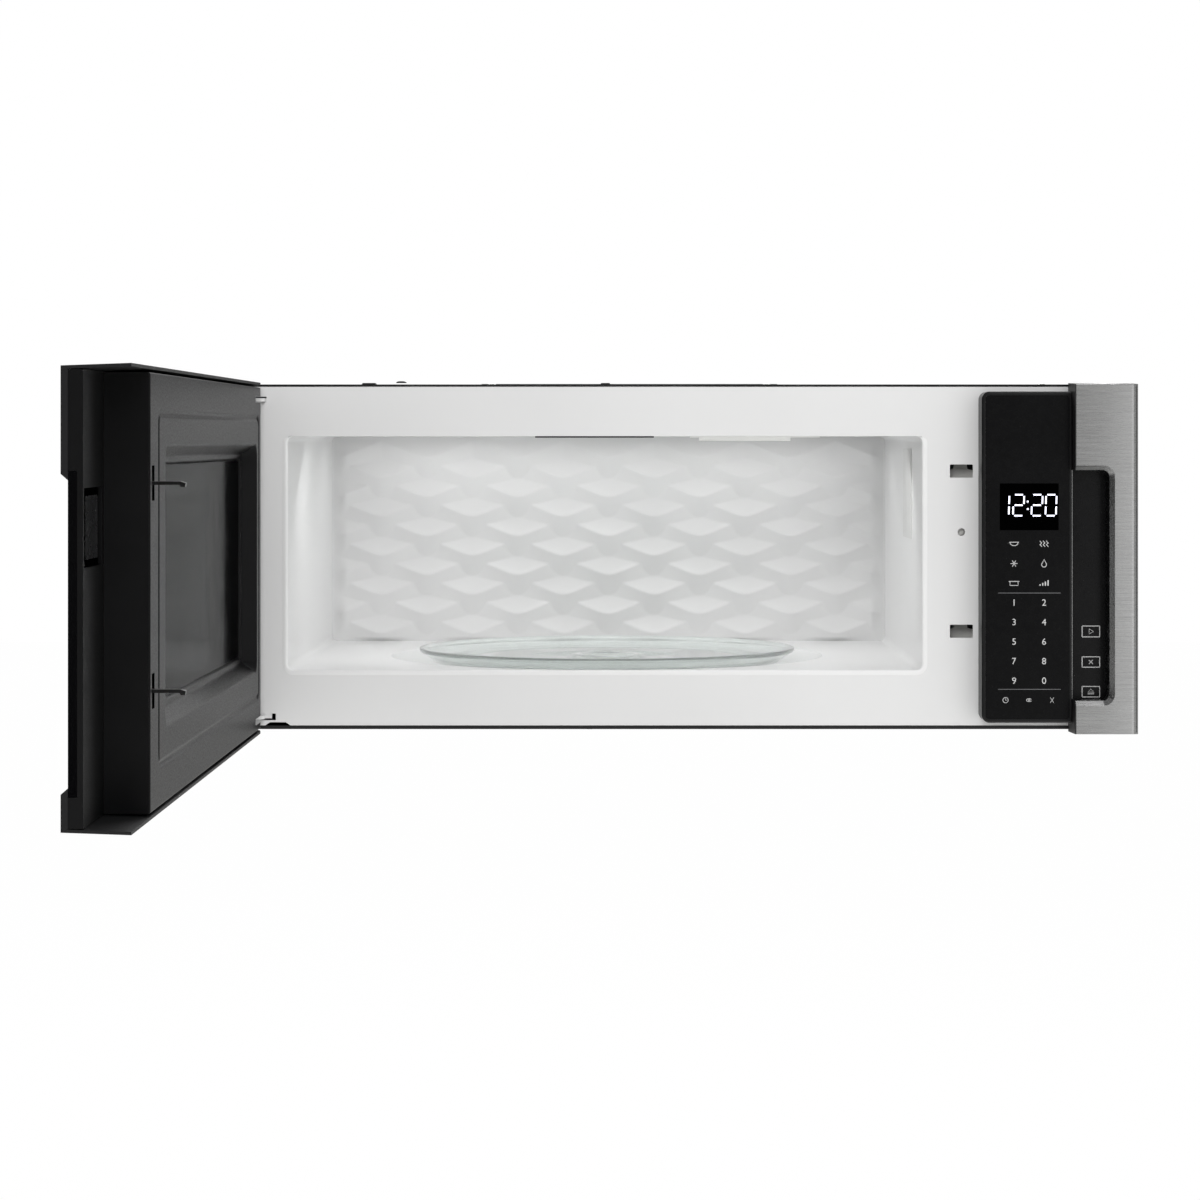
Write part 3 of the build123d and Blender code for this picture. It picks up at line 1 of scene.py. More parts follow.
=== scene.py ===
import math
import bpy
import numpy as np
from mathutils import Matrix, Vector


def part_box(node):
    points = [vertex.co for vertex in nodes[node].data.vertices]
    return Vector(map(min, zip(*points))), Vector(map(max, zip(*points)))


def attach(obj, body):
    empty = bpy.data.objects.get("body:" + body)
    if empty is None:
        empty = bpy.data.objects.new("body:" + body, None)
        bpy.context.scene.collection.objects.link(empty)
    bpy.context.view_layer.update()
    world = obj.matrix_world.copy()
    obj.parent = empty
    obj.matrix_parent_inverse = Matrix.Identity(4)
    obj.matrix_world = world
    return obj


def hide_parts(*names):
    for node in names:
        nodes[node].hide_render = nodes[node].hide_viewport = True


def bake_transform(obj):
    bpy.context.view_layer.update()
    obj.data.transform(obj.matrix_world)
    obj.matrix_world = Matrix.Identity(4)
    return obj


# Over the range microwave with its door open: the CAD frame dressed for the studio.
# Metres. X to the user's right, Y into the wall, Z up, as in the frame.

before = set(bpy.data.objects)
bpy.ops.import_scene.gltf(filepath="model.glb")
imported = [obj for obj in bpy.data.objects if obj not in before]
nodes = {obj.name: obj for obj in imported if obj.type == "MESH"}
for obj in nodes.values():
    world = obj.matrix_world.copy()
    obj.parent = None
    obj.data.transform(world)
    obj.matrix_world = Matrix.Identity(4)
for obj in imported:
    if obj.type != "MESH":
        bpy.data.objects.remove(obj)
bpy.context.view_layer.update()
mm = 0.001

# the photograph's own camera, worked out from its straight lines
camera = {
    "place": (0.003, -2.872, 0.2189),
    "lens": 97.05,          # mm
    "sensor": 36.0,         # mm
    "shiftX": -0.0275,
    "shiftY": -0.1333,
    "nearest": 0.05,
    "farthest": 60.0,
}
camData = bpy.data.cameras.new("studioCamera")
camData.lens = camera["lens"]
camData.sensor_width = camera["sensor"]
camData.shift_x = camera["shiftX"]
camData.shift_y = camera["shiftY"]
camData.clip_start = camera["nearest"]
camData.clip_end = camera["farthest"]
camObject = bpy.data.objects.new("studioCamera", camData)
camObject.location = camera["place"]
camObject.rotation_euler = (math.radians(90.0), 0.0, 0.0)
bpy.context.scene.collection.objects.link(camObject)
bpy.context.scene.camera = camObject
bpy.context.scene.view_settings.view_transform = "Standard"
print("camera placed")


def hexColour(code):
    # sRGB hex to the linear colour that nodes want
    parts = np.array([int(code[i:i + 2], 16) for i in (1, 3, 5)]) / 255.0
    linear = np.where(parts <= 0.04045, parts / 12.92, ((parts + 0.055) / 1.055) ** 2.4)
    return (*linear.tolist(), 1.0)


def addNode(tree, kind, inputs=None, **settings):
    # one node with its settings; each input is a value, or the socket that feeds it
    node = tree.nodes.new(kind)
    for name, value in settings.items():
        setattr(node, name, value)
    for key, value in (inputs or {}).items():
        if isinstance(value, bpy.types.NodeSocket):
            tree.links.new(value, node.inputs[key])
        else:
            node.inputs[key].default_value = value
    return node


def newMaterial(name, colour, rough, metal=0.0, **sockets):
    # a Principled surface and its Object coordinates; patterns are linked on afterwards
    material = bpy.data.materials.new(name)
    material.use_nodes = True
    tree = material.node_tree
    tree.nodes.clear()
    place = addNode(tree, "ShaderNodeTexCoord").outputs["Object"]
    values = {"Base Color": hexColour(colour), "Roughness": rough, "Metallic": metal}
    values.update(sockets)
    shader = addNode(tree, "ShaderNodeBsdfPrincipled", values)
    addNode(tree, "ShaderNodeOutputMaterial", {"Surface": shader.outputs["BSDF"]})
    return material, tree, shader, place


def linkRange(tree, value, socket, low, high, fromLow=0.3, fromHigh=0.7):
    # a pattern's value, stretched to the range that the socket needs
    spread = addNode(tree, "ShaderNodeMapRange", {"Value": value, "From Min": fromLow, "From Max": fromHigh,
                                                  "To Min": low, "To Max": high})
    tree.links.new(spread.outputs["Result"], socket)


def linkColours(tree, value, socket, dark, light, fromLow=0.3, fromHigh=0.7):
    # a pattern's value as a ramp between two near colours
    ramp = addNode(tree, "ShaderNodeValToRGB", {"Fac": value})
    ramp.color_ramp.elements[0].position = fromLow
    ramp.color_ramp.elements[0].color = hexColour(dark)
    ramp.color_ramp.elements[1].position = fromHigh
    ramp.color_ramp.elements[1].color = hexColour(light)
    tree.links.new(ramp.outputs["Color"], socket)


def grain(tree, place, size, stretch=(1.0, 1.0, 1.0), detail=3.0):
    # noise whose grains are about size metres wide, drawn out by stretch
    mapped = addNode(tree, "ShaderNodeMapping", {"Vector": place, "Scale": stretch})
    noise = addNode(tree, "ShaderNodeTexNoise", {"Vector": mapped.outputs["Vector"], "Scale": 1.0 / size,
                                                 "Detail": detail, "Roughness": 0.55})
    return noise.outputs["Fac"]


def bumped(tree, shader, height, depth, strength=1.0):
    # a relief of the given depth in metres
    bump = addNode(tree, "ShaderNodeBump", {"Height": height, "Distance": depth, "Strength": strength})
    tree.links.new(bump.outputs["Normal"], shader.inputs["Normal"])


def porcelainEnamel(name, dark, light, rough):
    # vitreous enamel fired on steel: glossy, with the faint long ripple of the fired glass
    coat = {"Coat Weight": 0.25, "Coat Roughness": 0.1}
    material, tree, shader, place = newMaterial(name, light, rough, **coat)
    cloud = grain(tree, place, 0.16, detail=1.0)
    linkColours(tree, cloud, shader.inputs["Base Color"], dark, light)
    linkRange(tree, grain(tree, place, 0.02), shader.inputs["Roughness"], rough - 0.01, rough + 0.01)
    bumped(tree, shader, grain(tree, place, 0.03, detail=0.0), 0.00002, 0.15)
    return material


def brushedStainless(name, along):
    # 430 stainless, belt-brushed: scratches 0.3 mm apart and some 40 mm long, drawn at 0.6 mm so that they
    # show. The quarter turn draws the highlights out across the scratches
    brushed = {"Anisotropic": 0.9, "Anisotropic Rotation": 0.25}
    material, tree, shader, place = newMaterial(name, "#B2B2B2", 0.26, 1.0, **brushed)
    stretch = {"x": (0.015, 1.0, 1.0), "y": (1.0, 0.015, 1.0)}[along]
    scratch = grain(tree, place, 0.0006, stretch, 4.0)
    linkColours(tree, scratch, shader.inputs["Base Color"], "#A6A6A6", "#C0C0C0")
    linkRange(tree, scratch, shader.inputs["Roughness"], 0.24, 0.3)
    bumped(tree, shader, scratch, 0.000006, 0.4)
    return material


def paintedEdgeShade(material, places):
    # painted shade: the sheet's folded edges are drawn black beyond each place along its axis, in the part's
    # own coordinates, as if in shade
    tree = material.node_tree
    steel = [n for n in tree.nodes if n.type == "BSDF_PRINCIPLED"][0]
    place = [n for n in tree.nodes if n.type == "TEX_COORD"][0].outputs["Object"]
    parts = addNode(tree, "ShaderNodeSeparateXYZ", {"Vector": place})
    masks = [addNode(tree, "ShaderNodeMapRange", {"Value": parts.outputs[axis], "From Min": near,
                                                  "From Max": far}) for axis, near, far in places]
    shadeShare = masks[0].outputs["Result"]
    for mask in masks[1:]:
        shadeShare = addNode(tree, "ShaderNodeMath", {0: shadeShare, 1: mask.outputs["Result"]},
                         operation="MAXIMUM").outputs["Value"]
    # this black is painted shade on the edges, not a finish of the steel
    paint = addNode(tree, "ShaderNodeBsdfPrincipled", {"Base Color": hexColour("#1C1C1D"), "Roughness": 0.5,
                                                       "Specular IOR Level": 0.3})
    peel = grain(tree, place, 0.0012)
    linkRange(tree, peel, paint.inputs["Roughness"], 0.45, 0.55)
    both = addNode(tree, "ShaderNodeMixShader", {0: shadeShare, 1: steel.outputs["BSDF"],
                                                 2: paint.outputs["BSDF"]})
    output = [n for n in tree.nodes if n.type == "OUTPUT_MATERIAL"][0]
    tree.links.new(both.outputs["Shader"], output.inputs["Surface"])
    return material


def temperedGlass():
    # black-printed tempered glass, polished: all gloss, with a trace of dust that dulls it
    material, tree, shader, place = newMaterial("temperedBlackGlass", "#060607", 0.04, **{"Coat Weight": 0.6})
    linkRange(tree, grain(tree, place, 0.05), shader.inputs["Roughness"], 0.03, 0.08)
    linkColours(tree, grain(tree, place, 0.12), shader.inputs["Base Color"], "#050506", "#09090A")
    return material


def mouldedPlastic(name, dark, light, rough, grit=0.0006, depth=0.00003, gloss=0.5):
    # injection-moulded plastic with a fine spark-eroded grain, drawn at 0.6 mm
    material, tree, shader, place = newMaterial(name, light, rough, **{"Specular IOR Level": gloss})
    spots = grain(tree, place, grit, detail=2.0)
    linkColours(tree, grain(tree, place, 0.03), shader.inputs["Base Color"], dark, light)
    linkRange(tree, spots, shader.inputs["Roughness"], rough - 0.06, rough + 0.06)
    bumped(tree, shader, spots, depth, 0.5)
    return material


def powderCoat(name, dark, light, rough, grit, depth, gloss=0.5):
    # powder coat on steel sheet: an orange peel about a millimetre across
    material, tree, shader, place = newMaterial(name, light, rough, **{"Specular IOR Level": gloss})
    peel = grain(tree, place, grit, detail=2.0)
    linkColours(tree, grain(tree, place, 0.05), shader.inputs["Base Color"], dark, light)
    linkRange(tree, peel, shader.inputs["Roughness"], rough - 0.08, rough + 0.08)
    bumped(tree, shader, peel, depth, 0.6)
    return material


def galvanisedSheet():
    # hot-dip galvanised steel: zinc spangles about 7 mm across that each catch the light differently
    material, tree, shader, place = newMaterial("galvanisedSheet", "#A9ADB0", 0.42, 0.9)
    cells = addNode(tree, "ShaderNodeTexVoronoi", {"Vector": place, "Scale": 1.0 / 0.007})
    level = addNode(tree, "ShaderNodeSeparateColor", {"Color": cells.outputs["Color"]}).outputs["Red"]
    linkColours(tree, level, shader.inputs["Base Color"], "#8F9396", "#BFC2C4", 0.0, 1.0)
    linkRange(tree, level, shader.inputs["Roughness"], 0.32, 0.52, 0.0, 1.0)
    return material


def plainMetal(name, dark, light, rough, size=0.004, stretch=(1.0, 1.0, 1.0)):
    # rolled or plated metal with a soft directionless cloud, or a rolling grain where it is stretched
    material, tree, shader, place = newMaterial(name, light, rough, 1.0)
    cloud = grain(tree, place, size, stretch)
    linkColours(tree, cloud, shader.inputs["Base Color"], dark, light)
    linkRange(tree, cloud, shader.inputs["Roughness"], rough - 0.08, rough + 0.1)
    return material


def pressedGlass(name, tint, rough, ior=1.5, clear=1.0, coat=0.0):
    # soda-lime glass pressed in a mould: clear, with slow waves left by the mould
    glass = {"Transmission Weight": clear, "IOR": ior, "Coat Weight": coat, "Coat Roughness": 0.04}
    material, tree, shader, place = newMaterial(name, tint, rough, **glass)
    wave = grain(tree, place, 0.02, detail=1.0)
    linkRange(tree, wave, shader.inputs["Roughness"], rough, rough + 0.05)
    bumped(tree, shader, wave, 0.00008, 0.3)
    return material


def perforatedScreen():
    # door screen: sheet with 1.5 mm holes on a 2.1 mm pitch, drawn as dark spots in a painted sheet
    material, tree, shader, place = newMaterial("perforatedScreen", "#262627", 0.4)
    pitch = 0.0021
    parts = addNode(tree, "ShaderNodeSeparateXYZ", {"Vector": place})
    waves = []
    for axis in ("Y", "Z"):
        turned = addNode(tree, "ShaderNodeMath", {0: parts.outputs[axis], 1: 2 * math.pi / pitch},
                         operation="MULTIPLY")
        wave = addNode(tree, "ShaderNodeMath", {0: turned.outputs["Value"]}, operation="COSINE")
        waves.append(wave.outputs["Value"])
    crossed = addNode(tree, "ShaderNodeMath", {0: waves[0], 1: waves[1]}, operation="ADD").outputs["Value"]
    linkColours(tree, crossed, shader.inputs["Base Color"], "#2A2A2C", "#050505", 0.25, 0.55)
    return material


def expandedMesh():
    # layered aluminium filter mesh: dark diamonds 4 mm wide between bright strands
    material, tree, shader, place = newMaterial("expandedFilterMesh", "#B4B6B8", 0.4, 1.0)
    pitch = 0.004
    parts = addNode(tree, "ShaderNodeSeparateXYZ", {"Vector": place})
    waves = []
    for operation in ("ADD", "SUBTRACT"):
        leaning = addNode(tree, "ShaderNodeMath", {0: parts.outputs["X"], 1: parts.outputs["Y"]},
                          operation=operation)
        turned = addNode(tree, "ShaderNodeMath", {0: leaning.outputs["Value"], 1: 2 * math.pi / pitch},
                         operation="MULTIPLY")
        wave = addNode(tree, "ShaderNodeMath", {0: turned.outputs["Value"]}, operation="COSINE")
        waves.append(wave.outputs["Value"])
    holes = addNode(tree, "ShaderNodeMath", {0: waves[0], 1: waves[1]}, operation="MAXIMUM").outputs["Value"]
    linkColours(tree, holes, shader.inputs["Base Color"], "#2B2C2D", "#C6C8CA", 0.2, 0.75)
    linkRange(tree, holes, shader.inputs["Roughness"], 0.6, 0.34, 0.2, 0.75)
    bumped(tree, shader, holes, 0.0006, 0.7)
    return material


def litSegments(name, colour, strength):
    # a vacuum fluorescent segment: it glows, and its glow is even
    material, tree, shader, place = newMaterial(name, colour, 0.4)
    shader.inputs["Emission Color"].default_value = hexColour(colour)
    shader.inputs["Emission Strength"].default_value = strength
    linkRange(tree, grain(tree, place, 0.002), shader.inputs["Roughness"], 0.35, 0.5)
    return material


finishes = {
    "frameEnamel": porcelainEnamel("frameEnamel", "#E4E4E4", "#E8E8E8", 0.32),
    "cavityEnamel": porcelainEnamel("cavityEnamel", "#EDEDED", "#F1F1F1", 0.34),
    "backEnamel": porcelainEnamel("backWallEnamel", "#D8D8D8", "#DDDDDD", 0.36),
    "stainlessAcross": brushedStainless("stainlessAcross", "x"),
    # painted shade on the folded edges of the column and of the door skin
    "stainlessColumn": paintedEdgeShade(brushedStainless("stainlessColumn", "x"), [("X", 0.3336, 0.3330)]),
    "stainlessDoor": paintedEdgeShade(brushedStainless("stainlessDoor", "y"),
                                  [("X", -0.3125, -0.312), ("Y", -1.0655, -1.0662)]),
    "temperedGlass": temperedGlass(),
    "touchFace": mouldedPlastic("printedTouchFace", "#0B0B0C", "#0E0E0F", 0.26, 0.004, 0.00001, 0.12),
    "pocketFace": mouldedPlastic("pocketTouchFace", "#09090A", "#0E0E0F", 0.26, 0.004, 0.00001, 0.2),
    "blackMould": mouldedPlastic("mouldedBlackABS", "#0E0E0F", "#141415", 0.36, gloss=0.3),
    "doorMould": mouldedPlastic("mouldedBlackFrame", "#0A0A0B", "#0E0E0F", 0.42, gloss=0.25),
    "displayFace": mouldedPlastic("displayFilter", "#010101", "#020202", 0.12, 0.004, 0.00001, 0.0),
    "whiteAcetal": mouldedPlastic("mouldedWhiteAcetal", "#DADAD6", "#E6E6E2", 0.4),
    "rollerPolymer": mouldedPlastic("mouldedRollerPolymer", "#C9C8C2", "#D6D5D0", 0.38),
    "hookAcetal": mouldedPlastic("mouldedBlackAcetal", "#080808", "#0D0D0D", 0.34),
    "doorPaint": powderCoat("satinDoorPaint", "#101011", "#151516", 0.37, 0.0011, 0.00002, 0.12),
    "casePaint": powderCoat("blackCasePaint", "#131314", "#19191A", 0.5, 0.0012, 0.00008),
    "galvanised": galvanisedSheet(),
    "aluminium": plainMetal("millAluminium", "#B4B6B8", "#CFD1D2", 0.36),
    "motorCan": plainMetal("zincPlatedCan", "#A3A4A2", "#B9BAB7", 0.34),
    "filterMesh": expandedMesh(),
    "lensFilm": mouldedPlastic("smokedLensFilm", "#1E1E1F", "#232324", 0.3, 0.004, 0.00001, 0.25),
    "rubber": mouldedPlastic("mouldedRubber", "#0C0C0C", "#121212", 0.8, 0.001, 0.00004, 0.05),
    "springWire": plainMetal("drawnSpringWire", "#8E8E8C", "#A9A9A6", 0.28, 0.001),
    "copperCoil": plainMetal("varnishedCopper", "#7C3F1E", "#A05A30", 0.4, 0.0012, (1.0, 1.0, 0.2)),
    "clearGlass": pressedGlass("pressedTrayGlass", "#EFF4F2", 0.04, 1.16, 0.86, 0.9),
    "greyGlass": pressedGlass("tintedDoorPane", "#5C5E60", 0.08, 1.035),
    "frostedLens": mouldedPlastic("frostedLens", "#E4E6E6", "#F2F3F3", 0.45, 0.0008, 0.00004),
    "mica": mouldedPlastic("micaSheet", "#CDCDCC", "#D6D6D5", 0.5, 0.003, 0.00004),
    "circuitBoard": mouldedPlastic("glassFibreBoard", "#0E3B22", "#14492B", 0.4),
    "screen": perforatedScreen(),
    "printGrey": mouldedPlastic("screenPrint", "#C6C6C6", "#D2D2D2", 0.5),
    "printDim": mouldedPlastic("screenPrintDim", "#68686A", "#747476", 0.5),
    "lampGlow": litSegments("lampLensGlow", "#F3F3F1", 0.1),
    "segments": litSegments("litSegments", "#EEF0FF", 1.1),
}
print("materials made:", len(finishes))

nodeFinish = {
    "casePaint": "case_top left_case_side right_case_side base_pan cavity_vent_grille",
    "galvanised": "back_plate wall_mounting_plate waveguide exhaust_collar exhaust_duct exhaust_damper "
                  "door_hinge_plates",
    "frameEnamel": "face_frame hinge_brackets",
    "cavityEnamel": "cavity_shell cavity_floor turntable_well cavity_back",
    "mica": "waveguide_cover",
    "motorCan": "magnetron turntable_motor blower_motor",
    "copperCoil": "hv_transformer",
    "aluminium": "hv_capacitor",
    "filterMesh": "left_grease_filter right_grease_filter",
    "whiteAcetal": "cooling_fan_frame cavity_lamp latch_board push_rod cooktop_lamp",
    "lampGlow": "cavity_lamp_lens",
    "frostedLens": "cooktop_lamp_lens",
    "stainlessAcross": "left_column",
    "stainlessColumn": "right_column",
    "stainlessDoor": "door_skin",
    "pocketFace": "pocket_panel",
    "blackMould": "control_panel_housing cord_bush interlock_switches cooling_fan_wheel blower_wheels "
                  "front_blower_scroll rear_blower_scroll",
    "doorMould": "door_frame",
    "touchFace": "control_panel_glass",
    "displayFace": "display_module",
    "circuitBoard": "control_board",
    "temperedGlass": "door_glass",
    "doorPaint": "door_inner_panel",
    "greyGlass": "door_window_pane",
    "screen": "door_screen",
    "springWire": "latch_spring",
    "hookAcetal": "latch_slider",
    "rollerPolymer": "drive_coupler roller_ring roller_wheel_1 roller_wheel_2 roller_wheel_3",
    "clearGlass": "glass_tray",
}
dressed = 0
for finish, names in nodeFinish.items():
    for name in names.split():
        part = nodes[name]
        if not part.material_slots:
            part.data.materials.append(finishes[finish])
        for holder in part.material_slots:
            holder.material = finishes[finish]
        dressed += 1
print("CAD nodes dressed:", dressed, "of", len(nodes))


def surface(name, points, finish, body, closeU=False, closeV=False):
    # mesh over a grid of points [u, v, 3]: each cell is one quad, and the grid may close on itself either way
    countU, countV = points.shape[:2]
    index = np.arange(countU * countV).reshape(countU, countV)
    if closeU:
        index = np.concatenate([index, index[:1]], axis=0)
    if closeV:
        index = np.concatenate([index, index[:, :1]], axis=1)
    quads = np.stack([index[:-1, :-1], index[1:, :-1], index[1:, 1:], index[:-1, 1:]], axis=-1).reshape(-1, 4)
    return meshPiece(name, points.reshape(-1, 3), quads, finish, body)


def meshPiece(name, points, faces, finish, body, smooth=True):
    # one piece of the object on its body; without a body it is left unattached
    mesh = bpy.data.meshes.new(name)
    mesh.from_pydata(points.tolist(), [], faces.tolist() if hasattr(faces, "tolist") else faces)
    mesh.polygons.foreach_set("use_smooth", np.full(len(mesh.polygons), smooth))
    mesh.materials.append(finishes[finish])
    mesh.update()
    piece = bpy.data.objects.new(name, mesh)
    bpy.context.scene.collection.objects.link(piece)
    if body:
        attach(piece, body)
    return piece


def smoothStep(value, low, high):
    # 0 below low, 1 above high, and an S curve between
    t = np.clip((value - low) / (high - low), 0.0, 1.0)
    return t * t * (3.0 - 2.0 * t)


# back wall of the cavity: a pressed sheet of staggered scales
backWall = {
    "step": 1.0 * mm,        # grid spacing
    "pitchX": 79.0 * mm,
    "pitchZ": 33.9 * mm,
    "topGap": 18.1 * mm,     # ceiling to the top row's lower tips
    "scaleHigh": 17.5 * mm,
    "proud": 5.0 * mm,
    "tipRadius": 7.0 * mm,
    "reach": 1.1,            # ridge tip to the scale's top, in scale heights
    "fall": 19.0 * mm,       # how far below its ridge a scale sinks back into the wall
    "ridgePower": 1.5,       # how the ridge fades towards the scale's ends
    "upperPower": 2.1,       # how the scale falls off above its ridge
    "inset": 1.0 * mm,       # from the cavity's walls
    "floorDrop": 5.0 * mm,   # how far the sheet runs below the floor's top
    "margin": 3.0 * mm,      # flat rim round the pattern
    "corner": 1.5 * mm,      # bend towards the side walls
    "rows": 10,
}


def cavityBackRelief():
    # each scale rises to a ridge, a rounded V: |x| bent to a hyperbola near its tip. Above the ridge it falls
    # off as a power of the way left to the scale's top, below it sinks evenly; the highest scale is kept
    cfg = backWall
    low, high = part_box("cavity_shell")
    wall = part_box("cavity_back")[1].y - cfg["inset"]
    ceiling = high.z - cfg["inset"]
    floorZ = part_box("cavity_floor")[1].z - cfg["floorDrop"]
    x = np.linspace(low.x + cfg["inset"], high.x - cfg["inset"], int((high.x - low.x) / cfg["step"]))
    z = np.linspace(floorZ, ceiling, int((ceiling - floorZ) / cfg["step"]))
    gridX, gridZ = np.meshgrid(x, z, indexing="ij")
    middle = (low.x + high.x) / 2
    height = np.zeros_like(gridX)
    slope = cfg["scaleHigh"] / (cfg["pitchX"] / 2)
    tipBend = slope * cfg["tipRadius"]
    reach = cfg["reach"] * cfg["scaleHigh"]
    for row in range(cfg["rows"]):
        tip = ceiling - cfg["topGap"] - row * cfg["pitchZ"] / 2
        shift = (row % 2) * cfg["pitchX"] / 2
        across = (gridX - middle + shift + cfg["pitchX"] / 2) % cfg["pitchX"] - cfg["pitchX"] / 2
        edge = tip + np.sqrt((slope * across) ** 2 + tipBend ** 2) - tipBend
        ridge = np.clip(1.0 - (edge - tip) / reach, 0.0, 1.0) ** cfg["ridgePower"]
        left = np.maximum(tip + reach - edge, 0.1 * mm)
        upper = ridge * np.clip((tip + reach - gridZ) / left, 0.0, 1.0) ** cfg["upperPower"]
        lower = ridge * np.clip(1.0 - (edge - gridZ) / cfg["fall"], 0.0, 1.0)
        height = np.maximum(height, np.where(gridZ > edge, upper, lower))
    rim = np.minimum(gridX - low.x, high.x - gridX)
    height *= smoothStep(rim, cfg["margin"], 5 * cfg["margin"])
    height *= smoothStep(gridZ - floorZ, 0.0, cfg["margin"])
    bend = np.clip(cfg["corner"] - (rim - cfg["inset"]), 0.0, cfg["corner"])
    curl = cfg["corner"] - np.sqrt(cfg["corner"] ** 2 - bend ** 2)
    points = np.stack([gridX, wall - cfg["proud"] * height - curl, gridZ], axis=-1)
    piece = surface("cavityBackRelief", points, "backEnamel", "case")
    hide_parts("cavity_back")


# turntable tray: pressed glass with a curved rim, its middle raised and hollow below
tray = {
    "segments": 192,
    "radius": 152.4 * mm,
    "lugHigh": 2.4 * mm,
    "lugAt": 17.0 * mm,
    "lugLong": 6.0 * mm,
    "lugWide": 3.0 * mm,
    "lugTurns": (90, 210, 330),
    # (radius, height) in mm: outwards along the underside, round the rim and back over the top
    "profile": (
        (1.0, 2.4), (20.0, 2.4), (25.5, 2.2), (27.2, 0.4), (30.0, 0.0), (108.0, 0.0), (136.0, 0.0),
        (139.5, 0.5), (146.0, 5.2), (149.6, 7.6), (151.7, 8.6), (152.4, 9.8), (152.2, 11.5), (151.0, 12.0),
        (149.4, 11.6), (147.0, 9.4), (142.6, 6.3), (139.2, 4.3), (136.0, 4.0), (112.0, 4.0), (108.0, 4.5),
        (104.0, 4.0), (36.0, 4.0), (32.0, 4.3), (28.6, 6.2), (25.0, 6.4), (1.0, 6.4)),
}


def trayGlass():
    # a closed profile turned round the table's middle, and three lugs in the recess below it
    low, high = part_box("glass_tray")
    cx, cy = (low.x + high.x) / 2, (low.y + high.y) / 2
    profile = np.array(tray["profile"]) * mm
    profile[:, 0] *= (high.x - low.x) / 2 / tray["radius"]
    profile[:, 1] = np.minimum(low.z + profile[:, 1], high.z)
    angle = np.linspace(0.0, 2 * np.pi, tray["segments"], endpoint=False)
    ring = np.stack([cx + np.outer(profile[:, 0], np.cos(angle)), cy + np.outer(profile[:, 0], np.sin(angle)),
                     np.repeat(profile[:, 1:], len(angle), axis=1)], axis=-1)
    piece = surface("trayGlass", ring[::-1], "clearGlass", "tray", closeU=True, closeV=True)
    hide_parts("glass_tray")
    # a lug is a domed oval: rings that shrink like a blunt quarter circle towards the tip
    side = np.linspace(0.0, 2 * np.pi, 32, endpoint=False)
    lift = np.linspace(0.0, 1.0, 7)
    shrink = np.sqrt(1.0 - 0.96 * lift ** 4)
    along = np.outer(shrink, tray["lugLong"] * np.cos(side)) + tray["lugAt"]
    across = np.outer(shrink, tray["lugWide"] * np.sin(side))
    z = low.z + tray["lugHigh"] * (1.0 - 0.98 * np.repeat(lift[:, None], len(side), axis=1))
    for turn in np.radians(tray["lugTurns"]):
        lug = np.stack([cx + along * math.cos(turn) - across * math.sin(turn),
                        cy + along * math.sin(turn) + across * math.cos(turn), z], axis=-1)
        surface("trayLug", lug, "clearGlass", "tray", closeV=True)


# rolled edge of the cavity's mouth, the face frame's enamel drawn into the opening
mouth = {
    "corner": 5.0 * mm,
    "cornerPoints": 9,
    "underCeiling": 0.92,    # share of the roll that is lost where the frame is folded sharply
    # (outwards, towards the user) in mm
    "section": ((3.4, 0.03), (2.6, 0.22), (1.4, 0.42), (0.4, 0.34), (-0.25, -0.2), (-0.5, -1.2),
                (-0.45, -3.0), (-0.2, -6.0)),
}


def mouthRing(x0, x1, z0, z1, radius):
    # points of a rounded rectangle and their outward directions, anticlockwise seen from the user
    spots, ways = [], []
    for cx, cz, start in ((x1, z1, 0), (x0, z1, 90), (x0, z0, 180), (x1, z0, 270)):
        middle = (cx - radius if cx == x1 else cx + radius, cz - radius if cz == z1 else cz + radius)
        turn = np.radians(np.linspace(start, start + 90, mouth["cornerPoints"]))
        way = np.stack([np.cos(turn), np.sin(turn)], axis=1)
        spots.append(np.array(middle) + radius * way)
        ways.append(way)
    return np.concatenate(spots), np.concatenate(ways)


def mouthRoll():
    # the section swept round the opening; under the ceiling it shrinks
    low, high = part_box("cavity_shell")
    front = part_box("face_frame")[0].y
    inset = backWall["inset"]
    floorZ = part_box("cavity_floor")[1].z - backWall["floorDrop"]
    spots, ways = mouthRing(low.x + inset, high.x - inset, floorZ, high.z - inset, mouth["corner"])
    full = 1.0 - mouth["underCeiling"] * smoothStep(ways[:, 1], 0.2, 0.9)
    rows = [np.stack([spots[:, 0] + out * mm * ways[:, 0] * full,
                      front - proud * mm * (full if proud > 0 else np.ones_like(full)),
                      spots[:, 1] + out * mm * ways[:, 1] * full], axis=1) for out, proud in mouth["section"]]
    surface("mouthRoll", np.array(rows)[:, ::-1], "cavityEnamel", "case", closeV=True)


# white acetal strikes of the latch board, seen through the latch slots
strikes = {
    "left": 243.0 * mm,
    "wide": 17.4 * mm,
    "bottoms": (69.1 * mm, 190.4 * mm),
    "high": 10.0 * mm,
    "depth": 19.6 * mm,
    "lean": 1.6 * mm,        # of the tab, towards the user
    "curl": 1.4 * mm,        # of the foot, away from the user
}


